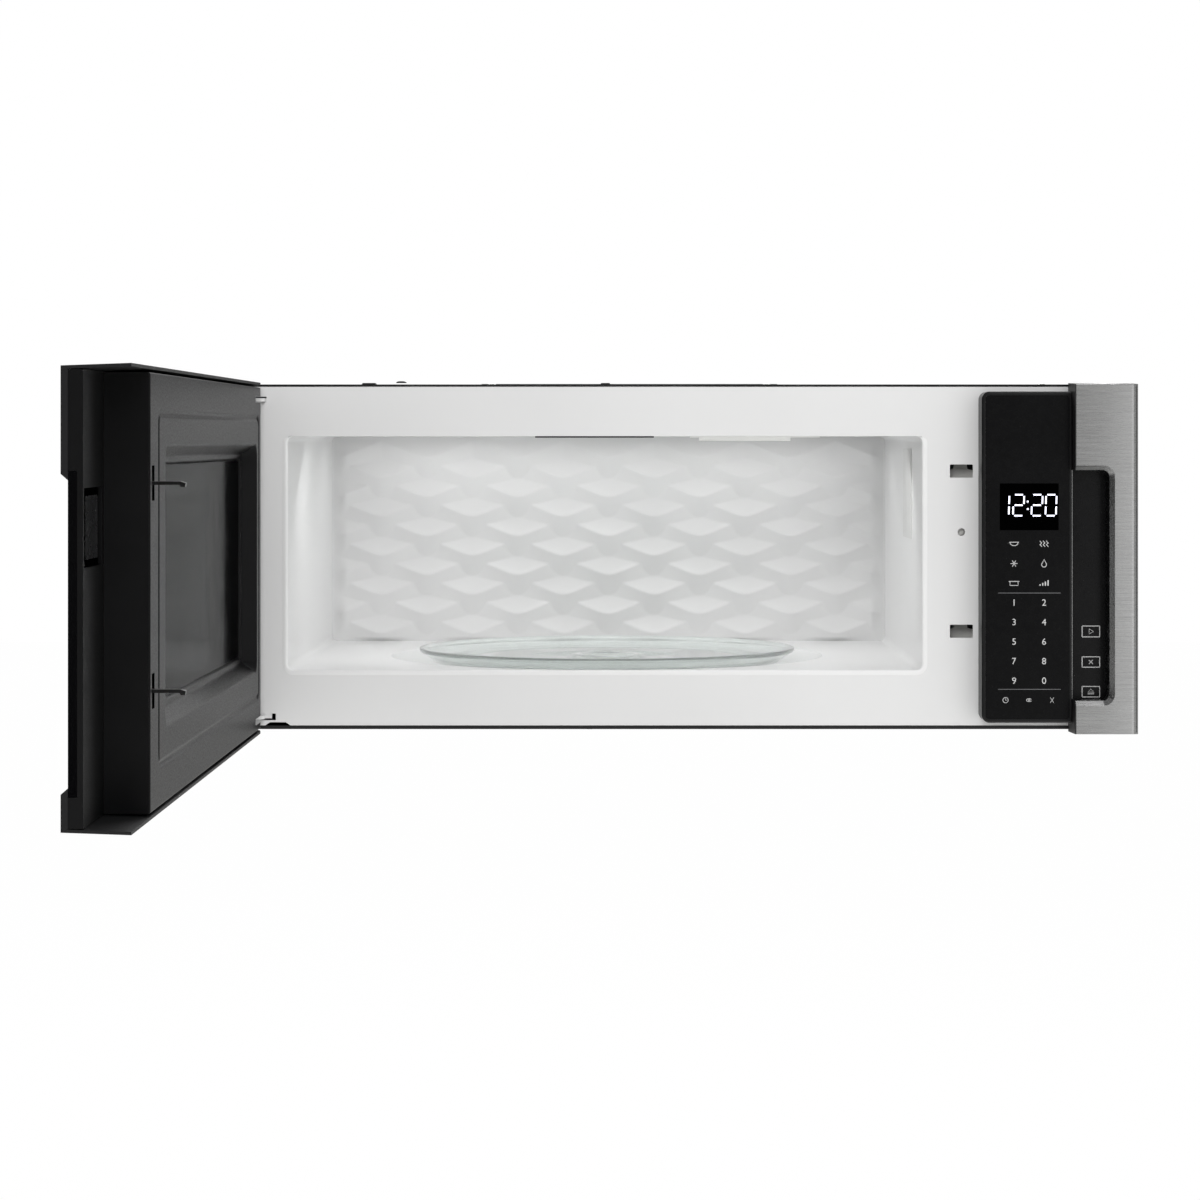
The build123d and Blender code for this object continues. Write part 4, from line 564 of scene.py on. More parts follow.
def strikePlates():
    # one bent sheet per slot: a band whose foot curls back, and a tab that narrows upwards and leans forward
    cfg = strikes
    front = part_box("face_frame")[0].y
    across, up = np.meshgrid(np.linspace(0.0, 1.0, 25), np.linspace(-0.25, 1.2, 30), indexing="ij")
    shoulder = smoothStep(up, 0.56, 0.62)
    half = 0.62 - shoulder * (0.30 + 0.10 * np.clip(up - 0.6, 0.0, 1.0))
    x = cfg["left"] + cfg["wide"] * (0.56 + (across - 0.5) * 2 * half)
    y = front + cfg["depth"] - cfg["lean"] * shoulder * smoothStep(up, 0.6, 1.1)
    y += cfg["curl"] * (0.3 - up).clip(0.0) ** 2
    for bottom in cfg["bottoms"]:
        points = np.stack([x, y, bottom + cfg["high"] * up], axis=-1)
        surface("strikePlate", points, "whiteAcetal", "case")


# lens let into the door frame's display slot, seen at the door's free end
doorLens = {
    "x": -304.0 * mm,
    "y": (-1062.5 * mm, -1001.5 * mm),
    "z": (147.0 * mm, 192.0 * mm),
    "rimWide": 2.2 * mm,
    "rimHigh": 0.6 * mm,
    "endShare": 2.2,         # the film stops this much further from the slot's ends than from its sides
    # name, inset from the slot's sides, finish, how far back
    "sheets": (("doorLensRim", 0.0 * mm, "displayFace", 3.0 * mm),
               ("doorLensFilm", 4.5 * mm, "lensFilm", 1.6 * mm)),
}


def doorDisplayLens():
    # black rim and smoked film: a sheet that steps up to its outline, the film a second sheet in it
    cfg = doorLens
    for name, inset, finish, back in cfg["sheets"]:
        y = np.linspace(cfg["y"][0] + cfg["endShare"] * inset, cfg["y"][1] - cfg["endShare"] * inset, 40)
        z = np.linspace(cfg["z"][0] + inset, cfg["z"][1] - inset, 40)
        gridY, gridZ = np.meshgrid(y, z, indexing="ij")
        edge = np.minimum(np.minimum(gridY - y[0], y[-1] - gridY), np.minimum(gridZ - z[0], z[-1] - gridZ))
        rise = cfg["rimHigh"] * (1.0 - smoothStep(edge, 0.0, cfg["rimWide"]))
        points = np.stack([cfg["x"] - back + rise, gridY, gridZ], axis=-1)
        surface(name, points, finish, "door")


# inner face of the door: a stamped sheet with an outline groove and the stepped window recess
innerFace = {
    "pin": (-295.0 * mm, -440.5 * mm),
    # outlines: left, right, bottom, top and corner radius with the door closed
    "groove": (-286.7 * mm, 228.7 * mm, 24.0 * mm, 238.0 * mm, 10.0 * mm),
    "recess": (-272.5 * mm, 199.0 * mm, 45.8 * mm, 216.2 * mm, 10.0 * mm),
    "grooveWide": 6.0 * mm,
    "grooveDeep": 1.3 * mm,
    "depth": 11.0 * mm,
    "draft": 8.0 * mm,
    "bend": 0.5 * mm,        # of the draft at either end, taken up by the bends
    "bendSoft": 0.7 * mm,
    "band": 2.7 * mm,
    "step": 2.5 * mm,
    "stepDraft": 1.4 * mm,
    "stepSoft": 0.5 * mm,
    "stepBand": 7.0 * mm,
    "foldWide": 1.2 * mm,    # rounding of the face into its sides
    "foldDeep": 1.125 * mm,
    "hooks": (71.5 * mm, 192.8 * mm),
    "hookSlot": (243.5 * mm, 253.5 * mm, 20.5 * mm),
    "hookMiddle": 1.0 * mm,  # slot's middle above the hook's underside
    "armRooms": ((6.8 * mm, 11.7 * mm), (246.8 * mm, 251.7 * mm)),
    "armReach": 31.0 * mm,
    "grooveBand": (3.0 * mm, 12.0 * mm),     # grid lines are dense this far outside and inside an outline
    "recessBand": (1.5 * mm, 15.0 * mm),
    "rimBand": 2.0 * mm,
    "fine": 0.55 * mm,
    "coarse": 7.0 * mm,
}


def gridLines(start, end, bands, fixed, fine, coarse):
    # grid lines from start to end: dense inside the bands, and one exactly at each fixed place
    lines = [start, end] + [v for v in fixed if start < v < end]
    for low, high in bands:
        lines += np.arange(max(low, start), min(high, end), fine).tolist()
    lines = sorted(lines)
    filled = []
    for here, there in zip(lines, lines[1:]):
        count = max(1, math.ceil((there - here) / coarse))
        filled += np.linspace(here, there, count, endpoint=False).tolist()
    filled.append(end)
    kept = [filled[0]]
    for value in filled[1:]:
        if value - kept[-1] > 0.05 * mm:
            kept.append(value)
    return np.array(kept)


def roundedDistance(x, z, x0, x1, z0, z1, r):
    # distance to a rounded rectangle's outline, negative inside
    qx = np.abs(x - (x0 + x1) / 2) - (x1 - x0) / 2 + r
    qz = np.abs(z - (z0 + z1) / 2) - (z1 - z0) / 2 + r
    return np.hypot(np.maximum(qx, 0.0), np.maximum(qz, 0.0)) + np.minimum(np.maximum(qx, qz), 0.0) - r


def pressedRamp(distance, length, soft):
    # 0 before the edge and 1 after its slope, with both bends rounded over the soft length
    t = np.linspace(-soft, soft, 9)[:, None, None]
    return np.clip((distance[None] + t) / length, 0.0, 1.0).mean(axis=0)


def doorInnerFace():
    # depth below the face: the groove is a raised cosine round a rounded rectangle; the recess and its step
    # are ramps of the distance inside another one. The window, hook slots and hinge rooms are left out
    cfg = innerFace
    low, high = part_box("door_inner_panel")
    pinX, pinY = cfg["pin"]
    start, end = pinX, pinX + (pinY - low.y)
    z0, z1 = low.z, high.z
    rx0, rx1, rz0, rz1, rr = cfg["recess"]
    gx0, gx1, gz0, gz1, gr = cfg["groove"]
    inset = cfg["draft"] + cfg["band"] + cfg["stepDraft"] + cfg["stepBand"]
    hookX0, hookX1, hookHigh = cfg["hookSlot"]
    middles = [hook + cfg["hookMiddle"] for hook in cfg["hooks"]]
    hookRooms = [(middle - hookHigh / 2, middle + hookHigh / 2) for middle in middles]
    fixedX = [rx0 + inset, rx1 - inset, hookX0, hookX1, start + cfg["armReach"]]
    fixedZ = [rz0 + inset, rz1 - inset] + [v for room in hookRooms for v in room]
    fixedZ += [v for room in cfg["armRooms"] for v in room]
    gOut, gIn = cfg["grooveBand"]
    rOut, rIn = cfg["recessBand"]
    rim = cfg["rimBand"]
    bandsX = [(gx0 - gOut, gx0 + gIn), (gx1 - gIn, gx1 + gOut), (rx0 - rOut, rx0 + rIn),
              (rx1 - rIn, rx1 + rOut), (end - rim, end)]
    bandsZ = [(gz0 - gOut, gz0 + gIn), (gz1 - gIn, gz1 + gOut), (rz0 - rOut, rz0 + rIn),
              (rz1 - rIn, rz1 + rOut), (z0, z0 + rim), (z1 - rim, z1)]
    x = gridLines(start, end, bandsX, fixedX, cfg["fine"], cfg["coarse"])
    z = gridLines(z0, z1, bandsZ, fixedZ, cfg["fine"], cfg["coarse"])
    gridX, gridZ = np.meshgrid(x, z, indexing="ij")
    outline = roundedDistance(gridX, gridZ, gx0, gx1, gz0, gz1, gr)
    across = np.clip((outline + cfg["grooveWide"] / 2) / (cfg["grooveWide"] / 2), -1.0, 1.0)
    depth = cfg["grooveDeep"] * 0.5 * (1.0 + np.cos(math.pi * across))
    inside = -roundedDistance(gridX, gridZ, rx0, rx1, rz0, rz1, rr)
    straight = cfg["draft"] - 2 * cfg["bend"]
    depth += cfg["depth"] * pressedRamp(inside - cfg["bend"], straight, cfg["bendSoft"])
    ledge = inside - cfg["draft"] - cfg["band"]
    depth += cfg["step"] * pressedRamp(ledge, cfg["stepDraft"], cfg["stepSoft"])
    edge = np.minimum(np.minimum(gridZ - z0, z1 - gridZ), end - gridX)
    fold = np.clip(1.0 - edge / cfg["foldWide"], 0.0, 1.0)
    depth += cfg["foldDeep"] * (1.0 - np.sqrt(1.0 - (0.98 * fold) ** 2))
    points = np.stack([high.x - np.minimum(depth, high.x - low.x), pinY - (gridX - pinX), gridZ], axis=-1)
    midX = (x[:-1] + x[1:])[:, None] / 2
    midZ = (z[:-1] + z[1:])[None, :] / 2
    hole = (midX > rx0 + inset) & (midX < rx1 - inset) & (midZ > rz0 + inset) & (midZ < rz1 - inset)
    for room in hookRooms:
        hole |= (midX > hookX0) & (midX < hookX1) & (midZ > room[0]) & (midZ < room[1])
    for room in cfg["armRooms"]:
        hole |= (midX < start + cfg["armReach"]) & (midZ > room[0]) & (midZ < room[1])
    index = np.arange(gridX.size).reshape(gridX.shape)
    quads = np.stack([index[:-1, :-1], index[:-1, 1:], index[1:, 1:], index[1:, :-1]], axis=-1)[~hole]
    used, renamed = np.unique(quads, return_inverse=True)
    piece = meshPiece("doorInnerFace", points.reshape(-1, 3)[used], renamed.reshape(-1, 4), "doorPaint",
                      "door")
    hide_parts("door_inner_panel")


# pan-head screws of the case, all one turned shape with a cross driven into it; places in mm
screws = {
    "radius": 3.6 * mm,
    "high": 1.9 * mm,
    "top": [(x, y) for y in (-280.0, -12.0) for x in (-330.0, -110.0, 110.0, 330.0)],
    "sides": [(y, z) for y in (-392.0, -16.0) for z in (30.0, 228.0)],
    "under": [(x, y) for y in (-402.0, -14.0) for x in (-352.0, -30.0, 352.0)],
}


def screwHeads(name, spots, normal, side):
    # rings of a dome; the cross is a dip where the distance to either bar's axis is small
    radial = np.linspace(0.0, 1.0, 12)[1:]
    turn = np.linspace(0.0, 2 * np.pi, 40, endpoint=False)
    u = np.outer(radial, np.cos(turn))
    v = np.outer(radial, np.sin(turn))
    dome = np.sqrt(1.0 - 0.96 * radial[:, None] ** 3.2)
    cross = 1.0 - smoothStep(np.minimum(np.abs(u), np.abs(v)), 0.1, 0.18)
    cross *= 1.0 - smoothStep(np.hypot(u, v), 0.45, 0.6)
    lift = screws["high"] * (dome - 0.5 * cross)
    normal, side = np.array(normal, float), np.array(side, float)
    other = np.cross(normal, side)
    head = screws["radius"] * (u[..., None] * side + v[..., None] * other) + lift[..., None] * normal
    index = np.arange(u.size).reshape(u.shape)
    after = np.roll(index, -1, axis=1)
    cells = np.stack([index[:-1], index[1:], after[1:], after[:-1]], axis=-1).reshape(-1, 4)
    points, faces = [], []
    for number, spot in enumerate(spots):
        points.append((np.array(spot) + head).reshape(-1, 3))
        faces += (cells + number * u.size).tolist()
        faces.append((index[0] + number * u.size).tolist())
    meshPiece(name, np.concatenate(points), faces, "motorCan", "case")


def caseScrews():
    top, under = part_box("case_top")[1].z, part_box("base_pan")[0].z
    left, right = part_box("left_case_side")[0].x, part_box("right_case_side")[1].x
    screwHeads("topScrews", [(x * mm, y * mm, top) for x, y in screws["top"]], (0, 0, 1), (1, 0, 0))
    screwHeads("leftScrews", [(left, y * mm, z * mm) for y, z in screws["sides"]], (-1, 0, 0), (0, 1, 0))
    screwHeads("rightScrews", [(right, y * mm, z * mm) for y, z in screws["sides"]], (1, 0, 0), (0, 1, 0))
    screwHeads("underScrews", [(x * mm, y * mm, under) for x, y in screws["under"]], (0, 0, -1), (1, 0, 0))


# return spring of the latch: one length of wound steel wire between the slider's head and the door's frame
spring = {"wire": 0.32 * mm, "turns": 11, "turnPoints": 28, "wirePoints": 10}


def latchSpring():
    # helix whose climb is slower near its ends; the wire is a ring swept along it
    low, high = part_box("latch_spring")
    wire = spring["wire"]
    cx, cy = (low.x + high.x) / 2, (low.y + high.y) / 2
    z0, z1 = low.z + wire, high.z - wire
    t = np.linspace(0.0, 1.0, spring["turns"] * spring["turnPoints"])
    turn = 2 * np.pi * spring["turns"] * t
    climb = z0 + (z1 - z0) * (0.75 * t + 0.25 * smoothStep(t, 0.0, 1.0))
    ring = np.linspace(0.0, 2 * np.pi, spring["wirePoints"], endpoint=False)
    out = (high.x - low.x) / 2 - wire + wire * np.cos(ring)[None, :]
    points = np.stack([cx + out * np.cos(turn)[:, None], cy + out * np.sin(turn)[:, None],
                       climb[:, None] + wire * np.sin(ring)[None, :]], axis=-1)
    piece = surface("latchSpringWire", points, "springWire", None, closeV=True)
    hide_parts("latch_spring")
    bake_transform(piece)


# rubber bumper on the cover's front edge
bumper = {
    "x": -173.0 * mm,
    "behindEdge": 9.0 * mm,
    "halfWide": 3.8 * mm,
    "halfDeep": 6.0 * mm,
    "high": 1.3 * mm,
}


def topBumper():
    # a low cushion over a rectangle: it falls as the fourth power of the way to the nearer side
    low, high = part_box("case_top")
    u = np.linspace(-1.0, 1.0, 40)
    gridU, gridV = np.meshgrid(u, u, indexing="ij")
    lift = bumper["high"] * (1.0 - np.maximum(np.abs(gridU), np.abs(gridV)) ** 4)
    points = np.stack([bumper["x"] + bumper["halfWide"] * gridU,
                       low.y + bumper["behindEdge"] + bumper["halfDeep"] * gridV, high.z + lift], axis=-1)
    surface("topBumper", points, "rubber", "case")


cavityBackRelief()
trayGlass()
mouthRoll()
strikePlates()
doorDisplayLens()
doorInnerFace()
latchSpring()
topBumper()
caseScrews()
print("cavity pieces made")


def ribbon(path, width):
    # flat strip of the given width along a line of points: each point is moved half the width to both sides
    path = np.asarray(path, float)
    run = np.gradient(path, axis=0)
    if np.allclose(path[0], path[-1]) and len(path) > 3:
        run[0] = run[-1] = path[1] - path[-2]
    run /= np.linalg.norm(run, axis=1)[:, None]
    side = np.stack([-run[:, 1], run[:, 0]], axis=1) * width / 2
    return np.stack([path + side, path - side], axis=1)


def printPiece(name, strips, depth, finish):
    # strips drawn in X and Z in mm, two points a step, laid at a depth in Y and facing the user
    faces, base = [], 0
    for pairs in strips:
        index = base + np.arange(len(pairs) * 2).reshape(-1, 2)
        faces += np.stack([index[:-1, 0], index[:-1, 1], index[1:, 1], index[1:, 0]], axis=-1).tolist()
        base += index.size
    flat = np.concatenate([pairs.reshape(-1, 2) for pairs in strips]) * mm
    points = np.stack([flat[:, 0], np.full(len(flat), depth), flat[:, 1]], axis=1)
    meshPiece(name, points, faces, finish, "case", smooth=False)


def arc(cx, cz, r, start, end, count=24, squash=1.0):
    # part of a circle or ellipse, angles in degrees
    turn = np.radians(np.linspace(start, end, count))
    return np.stack([cx + r * np.cos(turn), cz + squash * r * np.sin(turn)], axis=1)


def glyphs(name, words, height, depth, finish):
    # digits set from the built-in font, made a mesh, then scaled to their height and centred on their places
    allPoints, allFaces, base = [], [], 0
    for text, x, z in words:
        curve = bpy.data.curves.new(name, "FONT")
        curve.body = text
        curve.size = 1.0
        holder = bpy.data.objects.new(name, curve)
        bpy.context.scene.collection.objects.link(holder)
        mesh = bpy.data.meshes.new_from_object(holder.evaluated_get(bpy.context.evaluated_depsgraph_get()))
        flat = np.zeros(len(mesh.vertices) * 3)
        mesh.vertices.foreach_get("co", flat)
        flat = flat.reshape(-1, 3)[:, :2]
        middle = (flat.min(0) + flat.max(0)) / 2
        size = height / (flat[:, 1].max() - flat[:, 1].min())
        flat = (flat - middle) * size
        level = np.full(len(flat), depth / mm)
        allPoints.append(np.stack([x + flat[:, 0], level, z + flat[:, 1]], axis=1) * mm)
        allFaces += [[base + v for v in face.vertices] for face in mesh.polygons]
        base += len(flat)
        bpy.data.objects.remove(holder)
        bpy.data.curves.remove(curve)
        bpy.data.meshes.remove(mesh)
    meshPiece(name, np.concatenate(allPoints), allFaces, finish, "case", smooth=False)


# printing of the control panel, in mm; heights above the panel's bottom, places from its left edge
panel = {
    "rows": ("90", "78", "56", "34", "12"),      # number keys, lowest row first
    "columns": (24.1, 46.6),
    "firstRow": 31.7,
    "rowPitch": 14.65,
    "digitHigh": 4.8,
    "dividers": (25.2, 97.4),
    "dividerFrom": 12.1,
    "dividerWide": 47.0,
    "dividerStroke": 0.45,
    "iconRows": (134.3, 119.5, 104.9),
    "stroke": 0.5,
    "barStroke": 0.9,
    "footRow": 17.1,
    "footPlaces": (17.7, 35.4, 52.6),
    "footStroke": 0.4,
    "footFine": 0.35,
    "lift": 0.06 * mm,           # in front of the face, in metres
}


def panelPrint():
    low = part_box("control_panel_housing")[0]
    left, bottom = low.x / mm, low.z / mm
    face = low.y - panel["lift"]
    words = []
    for row, pair in enumerate(panel["rows"]):
        for column, text in zip(panel["columns"], pair):
            words.append((text, left + column, bottom + panel["firstRow"] + row * panel["rowPitch"]))
    glyphs("keypadNumbers", words, panel["digitHigh"], face, "printGrey")
    x0 = left + panel["dividerFrom"]
    x1 = x0 + panel["dividerWide"]
    lines = [ribbon(np.linspace((x0, bottom + z), (x1, bottom + z), 8), panel["dividerStroke"])
             for z in panel["dividers"]]
    printPiece("keypadDividers", lines, face, "printDim")
    # two columns of function marks: bowl and rising heat, ice crystal and drop, dish and power bars
    s = panel["stroke"]
    xa, xb = (left + c for c in panel["columns"])
    z = bottom + panel["iconRows"][0]
    marks = [ribbon(arc(xa, z + 1.0, 3.0, 180, 360, squash=0.8), s),
             ribbon([(xa - 3.6, z + 1.2), (xa, z + 1.2), (xa + 3.6, z + 1.2)], s)]
    wave = np.linspace(-2.3, 2.3, 24)
    for dx in (-2.4, 0.0, 2.4):
        marks.append(ribbon(np.stack([xb + dx + 0.6 * np.sin(wave * 2.4), z + wave], axis=1), s))
    z = bottom + panel["iconRows"][1]
    for turn in (0, 60, 120):
        c, d = math.cos(math.radians(turn)) * 2.6, math.sin(math.radians(turn)) * 2.6
        marks.append(ribbon([(xa - c, z - d), (xa, z), (xa + c, z + d)], s))
    marks.append(ribbon(arc(xb, z - 0.8, 1.8, 150, 390), s))
    marks.append(ribbon([(xb - 1.56, z + 0.1), (xb, z + 3.0), (xb + 1.56, z + 0.1)], s))
    z = bottom + panel["iconRows"][2]
    marks.append(ribbon([(xa - 3.0, z + 1.2), (xa - 3.0, z - 1.8), (xa + 3.0, z - 1.8),
                         (xa + 3.0, z + 1.2)], s))
    marks.append(ribbon([(xa - 4.0, z + 1.2), (xa, z + 1.2), (xa + 4.0, z + 1.2)], s))
    for step in range(4):
        x = xb - 3.0 + 2.0 * step
        marks.append(ribbon([(x, z - 2.0), (x, z - 0.9 + step)], panel["barStroke"]))
    printPiece("functionMarks", marks, face, "printGrey")
    # clock, eye and hourglass along the foot
    z = bottom + panel["footRow"]
    xc, xe, xh = (left + p for p in panel["footPlaces"])
    thick, fine = panel["footStroke"], panel["footFine"]
    small = [ribbon(arc(xc, z, 2.0, 0, 360, 32), thick),
             ribbon([(xc, z + 1.3), (xc, z), (xc + 1.0, z)], fine),
             ribbon(arc(xe, z, 2.0, 30, 330, 32, 0.55), thick),
             ribbon(arc(xe, z, 0.7, 0, 360, 16, 0.55), fine),
             ribbon([(xh - 1.3, z + 2), (xh + 1.3, z + 2), (xh - 1.3, z - 2), (xh + 1.3, z - 2),
                     (xh - 1.3, z + 2)], thick)]
    printPiece("footMarks", small, face, "printGrey")


# lit digits of the clock, in mm
clock = {
    "bottom": 162.2,
    "high": 15.7,
    "wide": 7.9,
    "gap": 0.95,
    "lean": 0.035,
    "stroke": 1.15,
    "places": (("1", 276.8), ("2", 287.9), ("2", 301.7), ("0", 312.2)),
    "dots": (5.0, 10.6),         # heights above the digits' feet
    "dotFrom": 298.3,
    "dotTo": 299.6,
    "dotStroke": 1.2,
    "filterBehind": 0.03 * mm,   # the filter is behind the digits, in metres
}


def sevenSegments(digit, x):
    # the lit bars of one digit, each a strip that stops short of its neighbours; the digit leans a little
    w, h = clock["wide"], clock["high"] / 2
    bars = {"a": ((0, 2 * h), (w, 2 * h)), "b": ((w, 2 * h), (w, h)), "c": ((w, h), (w, 0)),
            "d": ((0, 0), (w, 0)), "e": ((0, 0), (0, h)), "f": ((0, h), (0, 2 * h)), "g": ((0, h), (w, h))}
    lit = {"0": "abcdef", "1": "bc", "2": "abged"}[digit]
    out = []
    for bar in lit:
        ends = np.array(bars[bar], float)
        run = (ends[1] - ends[0]) / np.linalg.norm(ends[1] - ends[0])
        ends += np.array([run, -run]) * clock["gap"]
        ends[:, 0] += x + clock["lean"] * ends[:, 1]
        ends[:, 1] += clock["bottom"]
        out.append(ribbon(np.linspace(ends[0], ends[1], 4), clock["stroke"]))
    return out


def clockDisplay():
    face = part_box("control_panel_glass")[0].y - panel["lift"]
    bars = []
    for digit, x in clock["places"]:
        bars += sevenSegments(digit, x)
    for above in clock["dots"]:
        z = clock["bottom"] + above
        bars.append(ribbon([(clock["dotFrom"], z), (clock["dotTo"], z)], clock["dotStroke"]))
    printPiece("clockSegments", bars, face, "segments")
    low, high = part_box("display_module")
    x0, x1, z0, z1 = low.x / mm, high.x / mm, low.z / mm, high.z / mm
    window = [np.array([[(x0, z1), (x0, z0)], [(x1, z1), (x1, z0)]])]
    printPiece("displayWindow", window, face + clock["filterBehind"], "displayFace")


# keys of the pull pocket: outlined boxes, (top, bottom) in mm, each with a mark
pocket = {
    "left": 340.9,
    "right": 354.1,
    "keys": ((79.0, 70.8), (55.8, 48.0), (33.5, 25.6)),
    "line": 0.6,
    "stroke": 0.5,
    "sheet": 2.0 * mm,           # of the pocket's panel, in metres
}


def pocketKeys():
    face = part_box("pocket_panel")[1].y - pocket["sheet"] - panel["lift"]
    x0, x1 = pocket["left"], pocket["right"]
    line, stroke = pocket["line"], pocket["stroke"]
    cx = (x0 + x1) / 2
    marks = []
    for top, bottom in pocket["keys"]:
        for a, b in (((x0, top), (x1, top)), ((x0, bottom), (x1, bottom)), ((x0, top), (x0, bottom)),
                     ((x1, top), (x1, bottom))):
            marks.append(ribbon([a, b], line))
    start, stop, opener = (sum(key) / 2 for key in pocket["keys"])
    marks.append(ribbon([(cx - 1.3, start + 1.9), (cx + 1.9, start), (cx - 1.3, start - 1.9),
                         (cx - 1.3, start + 1.9)], stroke))
    marks.append(ribbon([(cx - 1.5, stop + 1.5), (cx + 1.5, stop - 1.5)], stroke))
    marks.append(ribbon([(cx - 1.5, stop - 1.5), (cx + 1.5, stop + 1.5)], stroke))
    marks.append(ribbon([(cx - 2.4, opener - 0.3), (cx, opener + 2.0), (cx + 2.4, opener - 0.3),
                         (cx - 2.4, opener - 0.3)], stroke))
    marks.append(ribbon([(cx - 2.4, opener - 1.6), (cx + 2.4, opener - 1.6)], line))
    printPiece("pocketKeys", marks, face, "printGrey")


panelPrint()
clockDisplay()
pocketKeys()
print("printing made")


# studio: powers in watts
studio = {
    "floorZ": -0.46,             # a cooktop's distance below
    "floorCorners": ((-8.0, -6.0), (8.0, -6.0), (8.0, 8.0), (-8.0, 8.0)),
    "floorShare": 0.985,         # of the floor's white that the camera sees, so that it meets the background
    "ambient": 0.67,
    "mirrored": 0.3,             # what glossy rays see of the surroundings
    "subject": (0.0, -0.4, 0.1),
    # softboxes that only light: name, place, size, power
    "softboxes": (("keySoftbox", (0.05, -3.4, 1.9), (0.9, 1.4), 15.0),
                  ("fillSoftbox", (0.9, -3.2, 0.7), (1.0, 1.0), 0.3),
                  ("leftSoftbox", (-0.12, -2.3, 0.75), (0.4, 0.4), 7.2)),
    # lamps under the cavity's ceiling: name, how far before the back wall, size, power
    "ovenLamps": (("ovenLamp", 0.23, (0.44, 0.16), 0.45),
                  ("scaleLampNear", 0.03, (0.42, 0.012), 0.036),
                  ("scaleLampFar", 0.085, (0.42, 0.02), 0.12)),
    "ovenX": -0.0182,
    # strips that the metal mirrors: name, place, target, size, power
    "strips": (("sideStrip", (1.05, -2.9, 0.3), (0.36, -0.46, 0.13), (0.6, 1.2), 0.8),
               ("columnStrip", (0.62, -1.0, 0.14), (0.4, -0.46, 0.13), (0.34, 0.6), 0.36),
               ("rimStrip", (0.0, 0.9, 1.3), (-0.28, -0.7, 0.1), (1.6, 0.5), 24.0),
               ("topStrip", (0.55, -0.6, 1.5), (0.36, -0.5, 0.1), (0.4, 0.4), 1.4)),
    "flags": (("flagBehind", ((-2.8, -3.4, -0.45), (-0.3, -3.4, -0.45), (-0.3, -3.4, 1.2),
                              (-2.8, -3.4, 1.2))),
              ("flagLeft", ((-2.4, -3.4, -0.45), (-2.4, 0.4, -0.45), (-2.4, 0.4, 1.4),
                            (-2.4, -3.4, 1.4)))),
}


def areaLight(name, place, target, size, power):
    # a white rectangle at its place, turned so that it faces the target
    data = bpy.data.lights.new(name, "AREA")
    data.shape = "RECTANGLE"
    data.size, data.size_y = size
    data.energy = power
    lamp = bpy.data.objects.new(name, data)
    lamp.location = place
    way = np.array(target) - np.array(place)
    tilt = math.acos(-way[2] / np.linalg.norm(way))
    lamp.rotation_euler = (tilt, 0.0, math.atan2(way[1], way[0]) - math.pi / 2)
    bpy.context.scene.collection.objects.link(lamp)
    return lamp


for name, place, size, power in studio["softboxes"]:
    areaLight(name, place, studio["subject"], size, power).visible_glossy = False
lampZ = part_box("cavity_lamp_lens")[0].z - 0.001
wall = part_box("cavity_back")[0].y
for name, ahead, size, power in studio["ovenLamps"]:
    target = (studio["ovenX"], wall - ahead * 0.6, 0.04)
    lamp = areaLight(name, (studio["ovenX"], wall - ahead, lampZ), target, size, power)
    lamp.visible_camera = False
    lamp.visible_glossy = False
for name, place, target, size, power in studio["strips"]:
    areaLight(name, place, target, size, power)


def stageSheet(name, corners, material):
    # one flat sheet of the studio
    mesh = bpy.data.meshes.new(name)
    mesh.from_pydata(corners, [], [(0, 1, 2, 3)])
    mesh.materials.append(material)
    sheet = bpy.data.objects.new(name, mesh)
    bpy.context.scene.collection.objects.link(sheet)
    return sheet


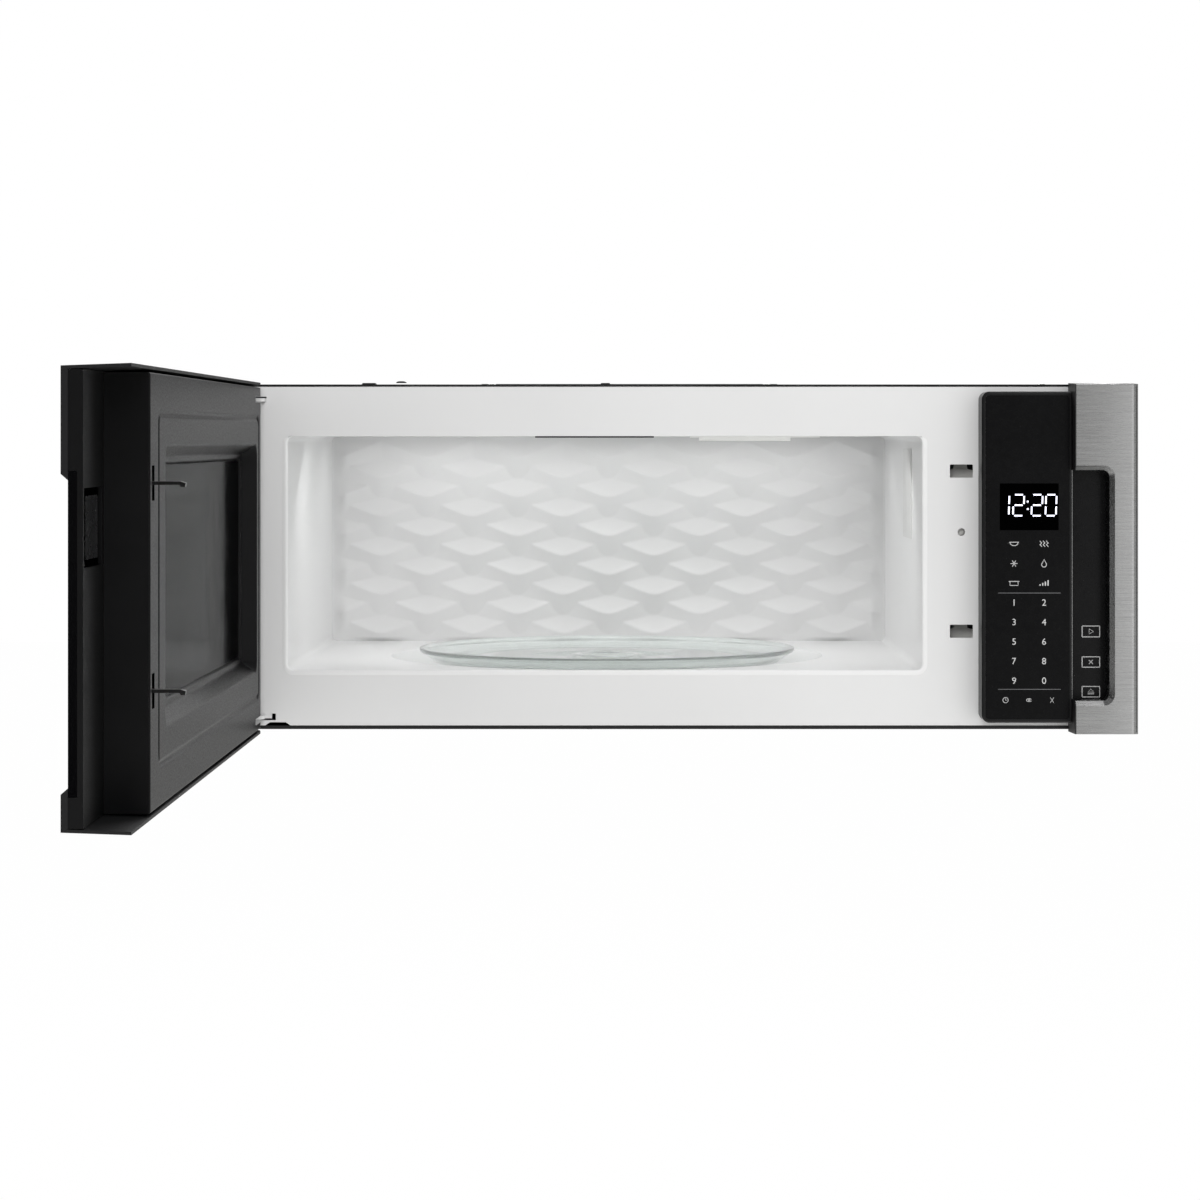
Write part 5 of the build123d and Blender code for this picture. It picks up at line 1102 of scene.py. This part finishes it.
# black cloth beside the camera, so that the door's edge and flanges mirror darkness
flagCloth, tree, shader, place = newMaterial("blackFlagCloth", "#050505", 0.9)
linkRange(tree, grain(tree, place, 0.01), shader.inputs["Roughness"], 0.85, 0.95)
for name, corners in studio["flags"]:
    flag = stageSheet(name, corners, flagCloth)
    flag.visible_camera = False
    flag.visible_shadow = False
    flag.visible_diffuse = False

# the world is white to the camera and through glass, and dimmer as a light and in mirrors
world = bpy.data.worlds.new("paleStudio")
bpy.context.scene.world = world
world.use_nodes = True
tree = world.node_tree
tree.nodes.clear()
rays = addNode(tree, "ShaderNodeLightPath")
seen = addNode(tree, "ShaderNodeMath", {0: rays.outputs["Is Camera Ray"],
                                        1: rays.outputs["Is Transmission Ray"]}, operation="MAXIMUM")
strength = addNode(tree, "ShaderNodeMapRange", {"Value": seen.outputs["Value"], "To Min": studio["ambient"],
                                                "To Max": 1.0})
glossy = addNode(tree, "ShaderNodeMapRange", {"Value": rays.outputs["Is Glossy Ray"], "To Min": 1.0,
                                              "To Max": studio["mirrored"] / studio["ambient"]})
total = addNode(tree, "ShaderNodeMath", {0: strength.outputs["Result"], 1: glossy.outputs["Result"]},
                operation="MULTIPLY")
sky = addNode(tree, "ShaderNodeBackground", {"Color": (1, 1, 1, 1), "Strength": total.outputs["Value"]})
addNode(tree, "ShaderNodeOutputWorld", {"Surface": sky.outputs["Background"]})

# the floor glows almost white for the camera and is plain paint for the rest
floorPaint, tree, shader, place = newMaterial("paleStudioFloor", "#F2F2F0", 0.7)
linkRange(tree, grain(tree, place, 0.02), shader.inputs["Roughness"], 0.62, 0.78)
rays = addNode(tree, "ShaderNodeLightPath")
glow = addNode(tree, "ShaderNodeEmission", {"Color": (1, 1, 1, 1), "Strength": 1.0})
share = addNode(tree, "ShaderNodeMath", {0: rays.outputs["Is Camera Ray"], 1: studio["floorShare"]},
                operation="MULTIPLY")
mixed = addNode(tree, "ShaderNodeMixShader", {0: share.outputs["Value"], 1: shader.outputs["BSDF"],
                                              2: glow.outputs["Emission"]})
output = [n for n in tree.nodes if n.type == "OUTPUT_MATERIAL"][0]
tree.links.new(mixed.outputs["Shader"], output.inputs["Surface"])
stageSheet("studioFloor", [(x, y, studio["floorZ"]) for x, y in studio["floorCorners"]], floorPaint)
print("studio made")
